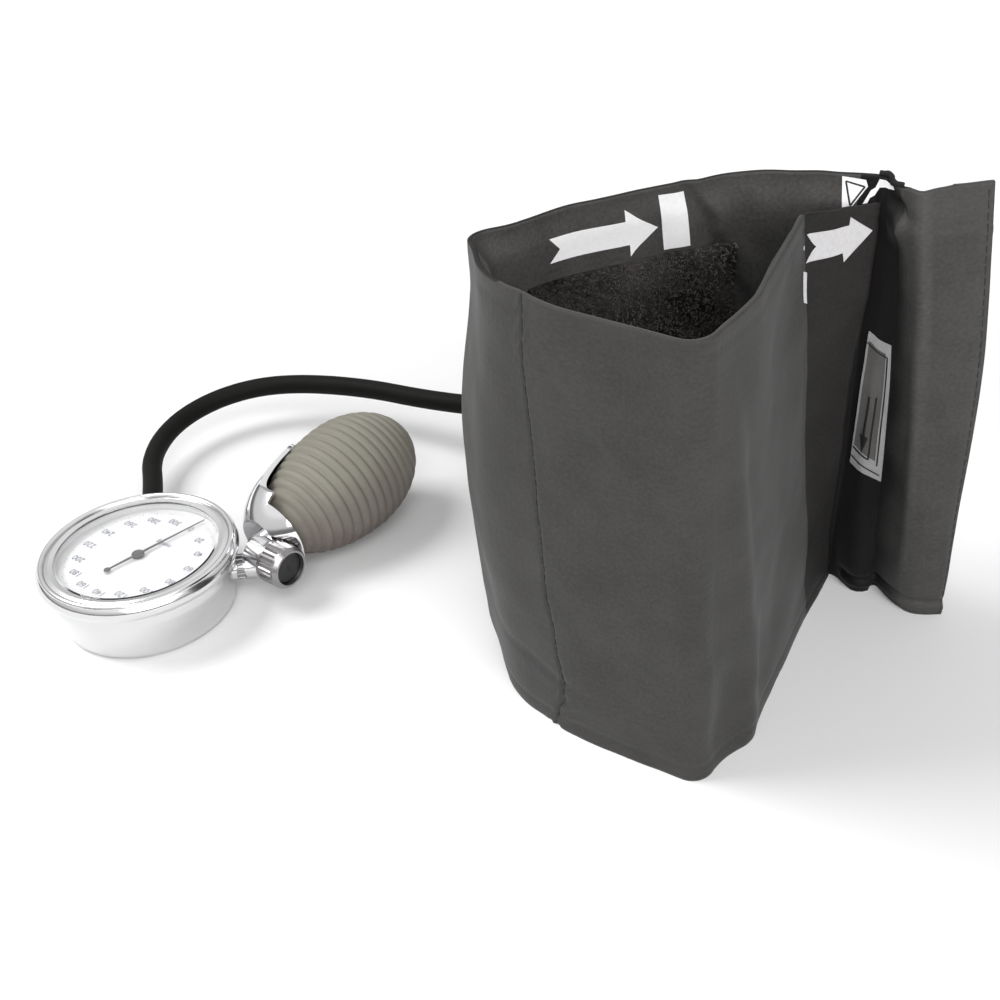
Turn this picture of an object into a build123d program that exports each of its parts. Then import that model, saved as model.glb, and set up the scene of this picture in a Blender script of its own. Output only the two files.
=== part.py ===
"""Palm aneroid sphygmomanometer: gauge, handset with valve and bulb, hose and arm cuff.

Millimetres, +Z up. The instrument lies on a table: the gauge dial up, the handset on its side,
the cuff on its edge as an open loop. The origin is on the table, at the middle of its footprint.
"""

import os
from math import ceil, cos, pi, radians, sin, sqrt, tan

from build123d import *

os.makedirs("parts", exist_ok=True)

# Driving dimensions of the gauge
GAUGE_X, GAUGE_Y = -111.0, 25.0  # centre of the gauge on the table
BEZEL_R = 33.5  # largest radius of the chrome bezel
CASE_FOOT_R = 26.0  # flat the gauge rests on
CASE_LOW_R = 29.0  # wall radius above the rounded foot
CASE_TOP_R = 30.0  # wall radius under the bezel's skirt
CASE_ROUND = 3.4  # height of the rounded foot
CASE_FLOOR = 1.8  # thickness of the case floor
CASE_INNER_R = 27.6  # inside of the case wall
COLLAR_R = 29.0  # threaded collar that carries the bezel
SKIRT_Z = 15.4  # lower edge of the bezel's skirt
DIAL_Z = 19.4  # seat of the dial
DIAL_T = 0.6  # thickness of the dial sheet
WINDOW_R = 27.3  # radius of the dial that shows
LENS_Z = 22.5  # underside of the lens
LENS_T = 1.4
BEZEL_TOP = 25.0  # highest point of the bezel
FIT = 0.05  # radial clearance of a running or seated fit

# Directions round the gauge, in degrees from +X
SIX_OCLOCK = 50.0  # lower edge of the dial, parallel to the handset
DIAL_SWEEP = 337.5  # from 0 to 300 mmHg
HOSE_AZ = 95.5  # port of the hose
NECK_AZ = 4.0  # port of the handset
PORT_Z = 11.0  # height of both ports

# Movement: sector gear and pinion
MODULE = 0.4
PINION_TEETH = 8
SECTOR_TEETH = 72  # on the full circle
PINION_R = MODULE * PINION_TEETH / 2
SECTOR_R = MODULE * SECTOR_TEETH / 2
CENTRES = PINION_R + SECTOR_R
PLATE_Z = 12.2  # underside of the movement's base plate
PLATE_T = 0.8
TOP_PLATE_Z = 17.2
PILLAR_R = 22.0  # pitch radius of the three pillars
PILLAR_AZ = 15.0  # first pillar, from the line between pinion and sector

# Handset
HANDLE_AZ = 47.5  # direction of the bulb's axis on the table
HANDLE_TILT = 6.0  # rise of the bulb's axis, in degrees
VALVE_REACH = 39.0  # from the gauge's centre to the valve
VALVE_Z = 16.6  # height of the bulb's axis at the valve
BARREL_DROP = 1.6  # the valve barrel lies this far below the bulb's axis
BARREL_R = 4.9
BARREL_BACK, BARREL_FRONT = 3.2, 4.4
KNOB_R = 7.3
KNOB_BACK, KNOB_FRONT = 5.6, 15.6  # along the valve's axis
KNOB_FLUTES = 28
SPIGOT_R = 3.6
BULB_R = 20.5
BULB_NEAR, BULB_FULL, BULB_FAR = 8.0, 44.0, 72.5  # along the bulb's axis from the valve
BULB_WALL = 2.3
BULB_RIBS = 15
RIB_DEPTH = 0.7

# Hose
HOSE_D = 7.4
HOSE_BORE = 4.6

# Cuff
CUFF_H = 140.0  # width of the cuff, which stands on its edge
COVER_T = 1.2  # fabric of the cover
BLADDER_T = 2.2
LINING_T = 1.2
PILE_T = 1.8


def write(piece: BuildPart, name: str) -> None:
    """Labels a finished piece and writes its STEP file."""
    piece.part.label = name
    export_step(piece.part, f"parts/{name}.step")


def heading(azimuth: float, rise: float = 0.0) -> Vector:
    """Unit vector at an azimuth from +X and a rise above the table, in degrees."""
    flat = cos(radians(rise))
    return Vector(cos(radians(azimuth)) * flat, sin(radians(azimuth)) * flat, sin(radians(rise)))


def ring_profile(inner: float, outer: float, low: float, high: float) -> None:
    """Adds a rectangle between two radii and two heights to the current sketch."""
    Polygon((inner, low), (outer, low), (outer, high), (inner, high), align=None)


def axial_profile(inner: float, outer: float, near: float, far: float) -> None:
    """The same with the stations along local X and the radii along local Y."""
    Polygon((near, inner), (far, inner), (far, outer), (near, outer), align=None)


# Planes and axes of the gauge
GAUGE_CENTRE = Vector(GAUGE_X, GAUGE_Y, 0)
GAUGE_AXIS = Axis(GAUGE_CENTRE, (0, 0, 1))
GAUGE_SECTION = Plane(origin=GAUGE_CENTRE, x_dir=(1, 0, 0), z_dir=(0, -1, 0))


def gauge_level(height: float, azimuth: float = 0.0) -> Plane:
    """Horizontal plane at a height, centred on the gauge, its X at an azimuth."""
    return Plane(origin=GAUGE_CENTRE + Vector(0, 0, height), x_dir=heading(azimuth), z_dir=(0, 0, 1))


def port_section(azimuth: float) -> Plane:
    """Upright plane through a port: X runs out of the case and Y up."""
    out = heading(azimuth)
    return Plane(origin=GAUGE_CENTRE + Vector(0, 0, PORT_Z), x_dir=out, z_dir=(out.Y, -out.X, 0))


def port_axis(azimuth: float) -> Axis:
    """Centre line of a port, out of the case."""
    return Axis(GAUGE_CENTRE + Vector(0, 0, PORT_Z), heading(azimuth))


def port_face(azimuth: float, reach: float) -> Plane:
    """Plane square to a port, at a distance from the gauge's centre, facing outwards."""
    out = heading(azimuth)
    return Plane(origin=GAUGE_CENTRE + Vector(0, 0, PORT_Z) + out * reach, z_dir=out)


# Planes and axes of the handset: X along the bulb, Y up, Z towards the knob
VALVE = GAUGE_CENTRE + heading(NECK_AZ) * VALVE_REACH + Vector(0, 0, VALVE_Z)
ALONG = heading(HANDLE_AZ, HANDLE_TILT)
ACROSS = heading(HANDLE_AZ - 90)
HANDLE = Plane(origin=VALVE, x_dir=ALONG, z_dir=ACROSS)
BULB_AXIS = Axis(VALVE, ALONG)
BARREL = VALVE - Vector(0, 0, BARREL_DROP)
BARREL_AXIS = Axis(BARREL, ACROSS)
BARREL_SECTION = Plane(origin=BARREL, x_dir=ACROSS, z_dir=ALONG * -1)


def barrel_face(station: float) -> Plane:
    """Plane square to the valve's axis, facing the knob."""
    return Plane(origin=BARREL + ACROSS * station, x_dir=ALONG, z_dir=ACROSS)


def bulb_face(station: float) -> Plane:
    """Plane square to the bulb's axis, facing the bulb's far end."""
    return Plane(origin=VALVE + ALONG * station, x_dir=ACROSS, z_dir=ALONG)


# Case: a drawn cup with a rounded foot, a collar for the bezel and two flat port bosses
BOSS_R = 4.2
BOSS_REACH = 31.0
PORT_HOLE_R = 2.5
with BuildPart() as case_body:
    with BuildSketch(GAUGE_SECTION):
        with BuildLine():
            foot = Line((0, 0), (CASE_FOOT_R, 0))
            corner = ThreePointArc(
                foot @ 1, (CASE_LOW_R - 0.9, 0.95), (CASE_LOW_R, CASE_ROUND)
            )
            Polyline(
                corner @ 1,
                (CASE_TOP_R, SKIRT_Z + 0.2),
                (COLLAR_R, SKIRT_Z + 0.2),
                (COLLAR_R, DIAL_Z),
                (CASE_INNER_R, DIAL_Z),
                (CASE_INNER_R, CASE_FLOOR),
                (0, CASE_FLOOR),
                foot @ 0,
            )
        make_face()
    revolve(axis=GAUGE_AXIS)
    for azimuth in (HOSE_AZ, NECK_AZ):
        with BuildSketch(port_face(azimuth, CASE_INNER_R + 0.6)):
            Circle(BOSS_R)
        extrude(amount=BOSS_REACH - CASE_INNER_R - 0.6)
        with BuildSketch(port_face(azimuth, CASE_INNER_R - 3)):
            Circle(PORT_HOLE_R)
        extrude(amount=8, mode=Mode.SUBTRACT)
write(case_body, "case_body")

# Bezel: a screwed ring with a skirt, a rolled outer bead and an inner step down to the lens
with BuildPart() as bezel:
    with BuildSketch(GAUGE_SECTION):
        with BuildLine():
            skirt = Polyline(
                (CASE_TOP_R + 0.15, SKIRT_Z + 0.2),
                (CASE_TOP_R + 0.3, SKIRT_Z),
                (CASE_TOP_R + 1.5, SKIRT_Z),
                (CASE_TOP_R + 1.7, DIAL_Z - 0.4),
                (BEZEL_R - 0.6, DIAL_Z + 0.1),
            )
            bead = ThreePointArc(skirt @ 1, (BEZEL_R, DIAL_Z + 2.2), (BEZEL_R - 1.2, DIAL_Z + 4.6))
            crown = ThreePointArc(bead @ 1, (BEZEL_R - 2.0, BEZEL_TOP), (BEZEL_R - 3.1, BEZEL_TOP - 0.5))
            Polyline(
                crown @ 1,
                (BEZEL_R - 3.1, BEZEL_TOP - 0.9),
                (BEZEL_R - 4.6, BEZEL_TOP - 0.5),
                (WINDOW_R, LENS_Z + LENS_T + 0.3),
                (WINDOW_R, LENS_Z + LENS_T),
                (COLLAR_R + FIT, LENS_Z + LENS_T),
                (COLLAR_R + FIT, SKIRT_Z + 0.2),
                skirt @ 0,
            )
        make_face()
    revolve(axis=GAUGE_AXIS)
write(bezel, "bezel")

# Dial sheet on the collar, with the hole for the pointer's arbor
ARBOR_HOLE_R = 1.0
with BuildPart() as dial:
    with BuildSketch(gauge_level(DIAL_Z)):
        Circle(COLLAR_R - 0.2)
        Circle(ARBOR_HOLE_R, mode=Mode.SUBTRACT)
    extrude(amount=DIAL_T)
write(dial, "dial")

# Spacer ring between dial and lens: the thin step that shows inside the bezel
GASKET_T = 0.5
with BuildPart() as spacer_ring:
    with BuildSketch(GAUGE_SECTION):
        with BuildLine():
            Polyline(
                (COLLAR_R - 0.1, DIAL_Z + DIAL_T),
                (COLLAR_R - 0.1, LENS_Z - GASKET_T),
                (WINDOW_R + 0.6, LENS_Z - GASKET_T),
                (WINDOW_R, DIAL_Z + DIAL_T + 0.5),
                (WINDOW_R, DIAL_Z + DIAL_T),
                close=True,
            )
        make_face()
    revolve(axis=GAUGE_AXIS)
write(spacer_ring, "spacer_ring")

with BuildPart() as lens_gasket:
    with BuildSketch(GAUGE_SECTION):
        ring_profile(WINDOW_R + 0.6, COLLAR_R - 0.1, LENS_Z - GASKET_T, LENS_Z)
    revolve(axis=GAUGE_AXIS)
write(lens_gasket, "lens_gasket")

# Lens: a flat pane, stepped at the edge and held by the bezel's lip
with BuildPart() as lens:
    with BuildSketch(GAUGE_SECTION):
        with BuildLine():
            Polyline((0, LENS_Z), (COLLAR_R - 0.1, LENS_Z), (COLLAR_R - 0.1, LENS_Z + LENS_T - 0.02),
                     (WINDOW_R - 0.3, LENS_Z + LENS_T - 0.02), (WINDOW_R - 0.8, LENS_Z + LENS_T + 0.3),
                     (0, LENS_Z + LENS_T + 0.3), close=True)
        make_face()
    revolve(axis=GAUGE_AXIS)
write(lens, "lens")

# Pointer: thin blade with a tail disc, pressed on the arbor
ZERO_AZ = SIX_OCLOCK - (360 - DIAL_SWEEP) / 2
POINTER_Z = DIAL_Z + DIAL_T + 0.9
POINTER_REACH = 26.0
TAIL_REACH = 11.5
HUB_R = 2.1
ARBOR_R = 0.6
with BuildPart() as pointer:
    with BuildSketch(gauge_level(POINTER_Z, ZERO_AZ)):
        with BuildLine():
            Polyline((-TAIL_REACH, -0.3), (0, -0.5), (POINTER_REACH, -0.12), (POINTER_REACH, 0.12), (0, 0.5),
                     (-TAIL_REACH, 0.3), close=True)
        make_face()
        with Locations((-TAIL_REACH, 0)):
            Circle(1.15)
    extrude(amount=0.25)
    with BuildSketch(gauge_level(POINTER_Z - 0.5)):
        Circle(HUB_R)
    extrude(amount=1.15)
    hub_edges = pointer.edges().filter_by(GeomType.CIRCLE).group_by(Axis.Z)[-1]
    chamfer(hub_edges, length=0.3)
    with BuildSketch(gauge_level(POINTER_Z - 1)):
        Circle(ARBOR_R)
    extrude(amount=1.4, mode=Mode.SUBTRACT)
write(pointer, "pointer")


def tooth(root: float, pitch: float, tip: float) -> None:
    """Adds one straight-sided gear tooth along local X to the current sketch."""
    step = pi * MODULE * 0.5 - 0.12
    share = (root * step / pitch, step, step * 0.45)
    low, mid, top = (width / 2 for width in share)
    Polygon((root - 0.15, -low - 0.04), (pitch, -mid), (tip, -top), (tip, top), (pitch, mid),
            (root - 0.15, low + 0.04), align=None)


# Pointer arbor with its pinion and the hairspring's collet
SPRING_Z = 13.5
SPRING_H = 0.5
COLLET_R = 0.95
PINION_Z = 14.6
PINION_T = 2.0
ADDENDUM = 0.75 * MODULE
DEDENDUM = 1.1 * MODULE
PIVOT_R = 0.45
with BuildPart() as pinion_arbor:
    with BuildSketch(gauge_level(PLATE_Z + 0.1)):
        Circle(PIVOT_R)
    extrude(amount=PLATE_T)
    with BuildSketch(gauge_level(PLATE_Z + PLATE_T + 0.1)):
        Circle(ARBOR_R)
    extrude(amount=POINTER_Z + 0.4 - PLATE_Z - PLATE_T - 0.1)
    with BuildSketch(gauge_level(SPRING_Z - 0.1)):
        Circle(COLLET_R)
    extrude(amount=SPRING_H + 0.2)
    with BuildSketch(gauge_level(PINION_Z, SIX_OCLOCK + 180)):
        Circle(PINION_R - DEDENDUM)
        with PolarLocations(0, PINION_TEETH, start_angle=180 / PINION_TEETH):
            tooth(PINION_R - DEDENDUM, PINION_R, PINION_R + ADDENDUM)
    extrude(amount=PINION_T)
write(pinion_arbor, "pinion_arbor")

# Sector gear: toothed arc, web with a window, and a tail whose pin the rocker's finger moves
MOVEMENT_AZ = SIX_OCLOCK + 180  # from the pinion to the sector's arbor
SECTOR_SWEEP = DIAL_SWEEP * PINION_TEETH / SECTOR_TEETH
SECTOR_MARGIN = 7.0
SECTOR_Z = 15.2
SECTOR_T = 0.8
SECTOR_CENTRE = GAUGE_CENTRE + heading(MOVEMENT_AZ) * CENTRES
SECTOR_ARBOR_R = 0.9
TAIL_PIN_REACH = 3.3
TAIL_PIN_ANGLE = 15.0
SECTOR_PITCH = 360 / SECTOR_TEETH


def sector_level(height: float) -> Plane:
    """Horizontal plane centred on the sector's arbor, its X towards the pinion."""
    return Plane(origin=SECTOR_CENTRE + Vector(0, 0, height), x_dir=heading(MOVEMENT_AZ + 180), z_dir=(0, 0, 1))


def sector_wedge(radius: float, first: float, last: float) -> None:
    """Adds a pie slice between two angles to the current sketch."""
    middle = radians((first + last) / 2)
    ends = [(radius * cos(radians(a)), radius * sin(radians(a))) for a in (first, last)]
    with BuildLine() as slice_line:
        Line((0, 0), ends[0])
        ThreePointArc(ends[0], (radius * cos(middle), radius * sin(middle)), ends[1])
        Line(ends[1], (0, 0))
    make_face(slice_line.edges())


with BuildPart() as sector_gear:
    with BuildSketch(sector_level(SECTOR_Z)):
        low_angle = -SECTOR_SWEEP - SECTOR_MARGIN
        sector_wedge(SECTOR_R - DEDENDUM, low_angle, SECTOR_MARGIN)
        teeth_below = int((SECTOR_SWEEP + SECTOR_MARGIN) / SECTOR_PITCH)
        for index in range(-teeth_below, int(SECTOR_MARGIN / SECTOR_PITCH) + 1):
            with Locations(Location((0, 0, 0), (0, 0, index * SECTOR_PITCH))):
                tooth(SECTOR_R - DEDENDUM, SECTOR_R, SECTOR_R + ADDENDUM)
        with Locations(Location((0, 0, 0), (0, 0, 180 + TAIL_PIN_ANGLE))):
            with Locations((TAIL_PIN_REACH / 2, 0)):
                SlotOverall(TAIL_PIN_REACH + 2.0, 1.8)
        Circle(2.2)
    extrude(amount=SECTOR_T)
    with BuildSketch(sector_level(SECTOR_Z)):
        sector_wedge(SECTOR_R - 3.0, low_angle + 12, SECTOR_MARGIN - 12)
        Circle(4.2, mode=Mode.SUBTRACT)
    extrude(amount=SECTOR_T, mode=Mode.SUBTRACT)
    with BuildSketch(sector_level(PLATE_Z + 0.1)):
        Circle(SECTOR_ARBOR_R - 0.3)
    extrude(amount=TOP_PLATE_Z + PLATE_T - PLATE_Z - 0.2)
    with BuildSketch(sector_level(PLATE_Z + PLATE_T + 0.1)):
        Circle(SECTOR_ARBOR_R)
    extrude(amount=TOP_PLATE_Z - PLATE_Z - PLATE_T - 0.2)
    with BuildSketch(sector_level(SECTOR_Z - 1.4)):
        with Locations(Location((0, 0, 0), (0, 0, 180 + TAIL_PIN_ANGLE))):
            with Locations((TAIL_PIN_REACH, 0)):
                Circle(0.4)
    extrude(amount=1.6)
write(sector_gear, "sector_gear")

# Rocker: a level shaft under the base plate with an arm over the capsule and an upright finger
ROCKER_Z = 10.6
ROCKER_R = 0.7
ROCKER_FROM, ROCKER_TO = -4.6, 23.4  # along the line from pinion to sector
ARM_STATION = 6.0
ARM_REACH = 3.0
FINGER_STATION = CENTRES + 1.5
FINGER_W = 2.2
ROCKER_LINE = Plane(
    origin=GAUGE_CENTRE + Vector(0, 0, ROCKER_Z), x_dir=heading(MOVEMENT_AZ + 90), z_dir=heading(MOVEMENT_AZ)
)
with BuildPart() as rocker:
    with BuildSketch(ROCKER_LINE.offset(ROCKER_FROM)):
        Circle(ROCKER_R)
    extrude(amount=ROCKER_TO - ROCKER_FROM)
    with BuildSketch(ROCKER_LINE.offset(ARM_STATION - 0.9)):
        with BuildLine():
            Polyline((0.6, 0.6), (-ARM_REACH, 0.2), (-ARM_REACH - 0.8, -0.5), (0.6, -0.6), close=True)
        make_face()
    extrude(amount=1.8)
    with BuildSketch(ROCKER_LINE.offset(FINGER_STATION)):
        with BuildLine():
            Polyline((-0.6, 0), (0.6, 0), (0.3, 4.0), (-0.3, 4.0), close=True)
        make_face()
    extrude(amount=FINGER_W)
write(rocker, "rocker")

# Base plate: carries both arbors, and its two lugs carry the rocker
CAPSULE_X, CAPSULE_Y = ARM_STATION, -ARM_REACH  # in the movement's own plane
LUG_T = 1.0
LUG_DROP = 3.0


def plate_outline() -> None:
    """Adds the movement plates' outline: a long bar with three pillar ears."""
    with Locations((5.5, 0)):
        SlotOverall(40, 18)
    with PolarLocations(PILLAR_R, 3, start_angle=PILLAR_AZ):
        Circle(2.6)
    with PolarLocations(PILLAR_R / 2, 3, start_angle=PILLAR_AZ):
        Rectangle(PILLAR_R, 4.4)


with BuildPart() as base_plate:
    with BuildSketch(gauge_level(PLATE_Z, MOVEMENT_AZ)):
        plate_outline()
        Circle(PIVOT_R + FIT, mode=Mode.SUBTRACT)
        with Locations((CENTRES, 0)):
            Circle(SECTOR_ARBOR_R - 0.3 + FIT, mode=Mode.SUBTRACT)
        with Locations((CAPSULE_X, CAPSULE_Y)):
            Circle(3.2, mode=Mode.SUBTRACT)
        with Locations((FINGER_STATION + FINGER_W / 2, 0.9)):
            Rectangle(FINGER_W + 0.6, 4.6, mode=Mode.SUBTRACT)
    extrude(amount=PLATE_T)
    for station in (ROCKER_FROM + 0.4, ROCKER_TO - 0.4 - LUG_T):
        with BuildSketch(ROCKER_LINE.offset(station)):
            with Locations((0, PLATE_Z - ROCKER_Z + (PLATE_T - LUG_DROP) / 2)):
                Rectangle(3.2, LUG_DROP + PLATE_T)
            Circle(ROCKER_R + FIT, mode=Mode.SUBTRACT)
        extrude(amount=LUG_T)
write(base_plate, "movement_base_plate")

with BuildPart() as top_plate:
    with BuildSketch(gauge_level(TOP_PLATE_Z, MOVEMENT_AZ)):
        plate_outline()
        Circle(ARBOR_R + FIT, mode=Mode.SUBTRACT)
        with Locations((CENTRES, 0)):
            Circle(SECTOR_ARBOR_R - 0.3 + FIT, mode=Mode.SUBTRACT)
    extrude(amount=PLATE_T)
write(top_plate, "movement_top_plate")

# Pillars in two lengths, from the case floor to the base plate and between the plates
with BuildPart() as pillars:
    with BuildSketch(gauge_level(CASE_FLOOR, MOVEMENT_AZ)):
        with PolarLocations(PILLAR_R, 3, start_angle=PILLAR_AZ):
            Circle(1.7)
    extrude(amount=PLATE_Z - CASE_FLOOR)
    with BuildSketch(gauge_level(PLATE_Z + PLATE_T, MOVEMENT_AZ)):
        with PolarLocations(PILLAR_R, 3, start_angle=PILLAR_AZ):
            Circle(1.5)
    extrude(amount=TOP_PLATE_Z - PLATE_Z - PLATE_T)
write(pillars, "movement_pillars")

with BuildPart() as plate_screws:
    with BuildSketch(gauge_level(TOP_PLATE_Z + PLATE_T, MOVEMENT_AZ)):
        with PolarLocations(PILLAR_R, 3, start_angle=PILLAR_AZ):
            Circle(1.5)
    extrude(amount=0.9)
    with BuildSketch(gauge_level(TOP_PLATE_Z + PLATE_T + 0.5, MOVEMENT_AZ)):
        with PolarLocations(PILLAR_R, 3, start_angle=PILLAR_AZ):
            Rectangle(0.4, 3.2)
    extrude(amount=0.5, mode=Mode.SUBTRACT)
write(plate_screws, "movement_screws")

# Hairspring: a flat spiral of half circles round the arbor, and the stud that holds its end
SPRING_W = 0.2
SPRING_START = 1.15
SPRING_STEP = 0.45  # growth of the radius in each half turn
SPRING_HALVES = 8
SPRING_END = SPRING_START + SPRING_STEP * SPRING_HALVES
with BuildPart() as hairspring:
    with BuildSketch(gauge_level(SPRING_Z, MOVEMENT_AZ + 90)):
        with BuildLine() as spiral:
            for half in range(SPRING_HALVES):
                odd = half % 2
                CenterArc((SPRING_STEP * odd, 0), SPRING_START + SPRING_STEP * half, 180 * odd, 180)
        trace(line_width=SPRING_W)
    extrude(amount=SPRING_H)
write(hairspring, "hairspring")

with BuildPart() as hairspring_stud:
    with BuildSketch(gauge_level(PLATE_Z + PLATE_T, MOVEMENT_AZ + 90)):
        with Locations((SPRING_END + 0.45, 0)):
            Rectangle(0.7, 1.4)
    extrude(amount=SPRING_Z + SPRING_H + 0.3 - PLATE_Z - PLATE_T)
write(hairspring_stud, "hairspring_stud")

# Capsule: two corrugated diaphragms on a foot, with a post that lifts the rocker's arm
CAPSULE_R = 14.0
CAPSULE_Z = 3.6
CAPSULE_T = 4.6
RIDGES = 4
CAPSULE_CENTRE = (
    GAUGE_CENTRE + heading(MOVEMENT_AZ) * CAPSULE_X + heading(MOVEMENT_AZ + 90) * CAPSULE_Y
)
CAPSULE_AXIS = Axis(CAPSULE_CENTRE, (0, 0, 1))
CAPSULE_SECTION = Plane(origin=CAPSULE_CENTRE, x_dir=(1, 0, 0), z_dir=(0, -1, 0))


def capsule_side(sign: int) -> list[tuple[float, float]]:
    """Ridge and valley points of one diaphragm, from the flat middle to the rim."""
    middle = CAPSULE_Z + CAPSULE_T / 2
    points = [(0.0, middle + sign * CAPSULE_T / 2), (2.6, middle + sign * CAPSULE_T / 2)]
    step = (CAPSULE_R - 4.6) / (2 * RIDGES)
    for index in range(2 * RIDGES):
        lift = 1.5 if index % 2 else 0.9
        points.append((3.8 + step * index, middle + sign * lift))
    points.append((CAPSULE_R, middle + sign * 0.5))
    return points


with BuildPart() as capsule:
    with BuildSketch(CAPSULE_SECTION):
        with BuildLine():
            Polyline(*capsule_side(1), *reversed(capsule_side(-1)), close=True)
        make_face()
    revolve(axis=CAPSULE_AXIS)
write(capsule, "aneroid_capsule")

with BuildPart() as capsule_foot:
    with BuildSketch(Plane(origin=CAPSULE_CENTRE + Vector(0, 0, CASE_FLOOR))):
        RegularPolygon(4.2, 6)
    extrude(amount=CAPSULE_Z - CASE_FLOOR)
write(capsule_foot, "capsule_foot")

POST_GAP = 0.15  # between post and arm, so that the opened linkage never binds
with BuildPart() as capsule_post:
    with BuildSketch(CAPSULE_SECTION):
        with BuildLine():
            top = ROCKER_Z - 0.6 - POST_GAP
            Polyline((0, CAPSULE_Z + CAPSULE_T + FIT), (2.4, CAPSULE_Z + CAPSULE_T + FIT),
                     (2.4, CAPSULE_Z + CAPSULE_T + 0.5), (0.9, top - 0.3), (0.6, top), (0, top), close=True)
        make_face()
    revolve(axis=CAPSULE_AXIS)
write(capsule_post, "capsule_post")

# Hose nipple: shank in the case, collar, and a barbed tube inside the hose
HOSE_START = 33.2  # from the gauge's centre
NIPPLE_END = 43.0
with BuildPart() as hose_nipple:
    with BuildSketch(port_section(HOSE_AZ)):
        with BuildLine():
            Polyline((CASE_INNER_R - 0.6, 1.2), (CASE_INNER_R - 0.6, PORT_HOLE_R), (BOSS_REACH, PORT_HOLE_R),
                     (BOSS_REACH, 3.8), (HOSE_START, 3.8), (HOSE_START, 1.9))
            Polyline((HOSE_START, 1.9), (36.0, 1.9), (36.0, 2.25), (38.6, 1.9), (38.6, 2.25), (41.4, 1.9),
                     (41.4, 2.25), (NIPPLE_END, 1.8), (NIPPLE_END, 1.2), (CASE_INNER_R - 0.6, 1.2))
        make_face()
    revolve(axis=port_axis(HOSE_AZ))
write(hose_nipple, "hose_nipple")

# Neck tube from the case to the valve, and the fluted union nut on it
NECK_R = 3.2
NECK_END = 35.7
NUT_FROM, NUT_TO = 31.2, 33.4
with BuildPart() as neck_tube:
    with BuildSketch(port_section(NECK_AZ)):
        with BuildLine():
            Polyline((CASE_INNER_R - 0.6, 1.4), (CASE_INNER_R - 0.6, PORT_HOLE_R), (BOSS_REACH, PORT_HOLE_R),
                     (BOSS_REACH, NECK_R), (NECK_END, NECK_R), (NECK_END, 1.4), close=True)
        make_face()
    revolve(axis=port_axis(NECK_AZ))
write(neck_tube, "neck_tube")

NUT_R = 4.3
with BuildPart() as union_nut:
    with BuildSketch(port_face(NECK_AZ, NUT_FROM)):
        Circle(NUT_R)
        Circle(NECK_R + FIT, mode=Mode.SUBTRACT)
        with PolarLocations(NUT_R + 0.15, 16):
            Circle(0.45, mode=Mode.SUBTRACT)
    extrude(amount=NUT_TO - NUT_FROM)
write(union_nut, "union_nut")

# Valve body: barrel, socket for the neck, shoulder and stub for the spoon, spigot for the bulb
SHOULDER_R, SHOULDER_END = 5.0, 3.9
STUB_R, STUB_END = 4.05, 7.3
SPIGOT_END = 15.0
SOCKET_FACE = 34.2
SOCKET_R = 4.1
CHAMBER_R = 2.3
CHAMBER_FLOOR = 9.5
NEEDLE_BORE = 2.0
SCREW_BORE = 2.6
SEAT_K = -2.2  # inner face of the valve seat, along the valve's axis
VENT_R = 0.6  # the vent behind the seat, which the needle closes
with BuildPart() as valve_body:
    with BuildSketch(barrel_face(-BARREL_BACK)):
        Circle(BARREL_R)
    extrude(amount=BARREL_BACK + BARREL_FRONT)
    back_edge = valve_body.edges().filter_by(GeomType.CIRCLE).sort_by(Axis(BARREL, ACROSS))[0]
    chamfer(back_edge, length=0.7)
    with BuildSketch(HANDLE):
        axial_profile(0, SHOULDER_R, 0, SHOULDER_END)
    revolve(axis=BULB_AXIS)
    with BuildSketch(HANDLE):
        axial_profile(0, STUB_R, 0, STUB_END)
    revolve(axis=BULB_AXIS)
    with BuildSketch(HANDLE):
        with BuildLine():
            Polyline((0, 0), (SPIGOT_END, 0), (SPIGOT_END, SPIGOT_R - 0.5), (SPIGOT_END - 2.0, SPIGOT_R),
                     (SPIGOT_END - 2.0, SPIGOT_R - 0.35), (STUB_END, SPIGOT_R - 0.35), (0, SPIGOT_R - 0.35),
                     close=True)
        make_face()
    revolve(axis=BULB_AXIS)
    with BuildSketch(port_face(NECK_AZ, SOCKET_FACE)):
        Circle(SOCKET_R)
    extrude(amount=VALVE_REACH - SOCKET_FACE)
    with BuildSketch(port_face(NECK_AZ, SOCKET_FACE - 2)):
        Circle(NECK_R + FIT)
    extrude(amount=NECK_END - SOCKET_FACE + 2.1, mode=Mode.SUBTRACT)
    neck_floor = GAUGE_CENTRE + heading(NECK_AZ) * NECK_END + Vector(0, 0, PORT_Z)
    air_way = BARREL - ACROSS * 0.9 - neck_floor
    with BuildSketch(Plane(origin=neck_floor, z_dir=air_way)):
        Circle(0.8)
    extrude(amount=air_way.length, mode=Mode.SUBTRACT)
    with BuildSketch(barrel_face(BARREL_FRONT)):
        Circle(BARREL_R)
    extrude(amount=2, mode=Mode.SUBTRACT)
    with BuildSketch(barrel_face(-BARREL_BACK - 1)):
        Circle(VENT_R)
    extrude(amount=3, mode=Mode.SUBTRACT)
    with BuildSketch(barrel_face(SEAT_K)):
        Circle(NEEDLE_BORE)
    extrude(amount=6, mode=Mode.SUBTRACT)
    with BuildSketch(barrel_face(2.6)):
        Circle(SCREW_BORE)
    extrude(amount=6, mode=Mode.SUBTRACT)
    with BuildSketch(bulb_face(CHAMBER_FLOOR)):
        Circle(CHAMBER_R)
    extrude(amount=8, mode=Mode.SUBTRACT)
    with BuildSketch(bulb_face(1.0)):
        Circle(1.0)
    extrude(amount=9, mode=Mode.SUBTRACT)
write(valve_body, "valve_body")

with BuildPart() as valve_seat:
    with BuildSketch(BARREL_SECTION):
        axial_profile(VENT_R, NEEDLE_BORE - 0.01, SEAT_K, SEAT_K + 1.0)
    revolve(axis=BARREL_AXIS)
write(valve_seat, "valve_seat")

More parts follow.
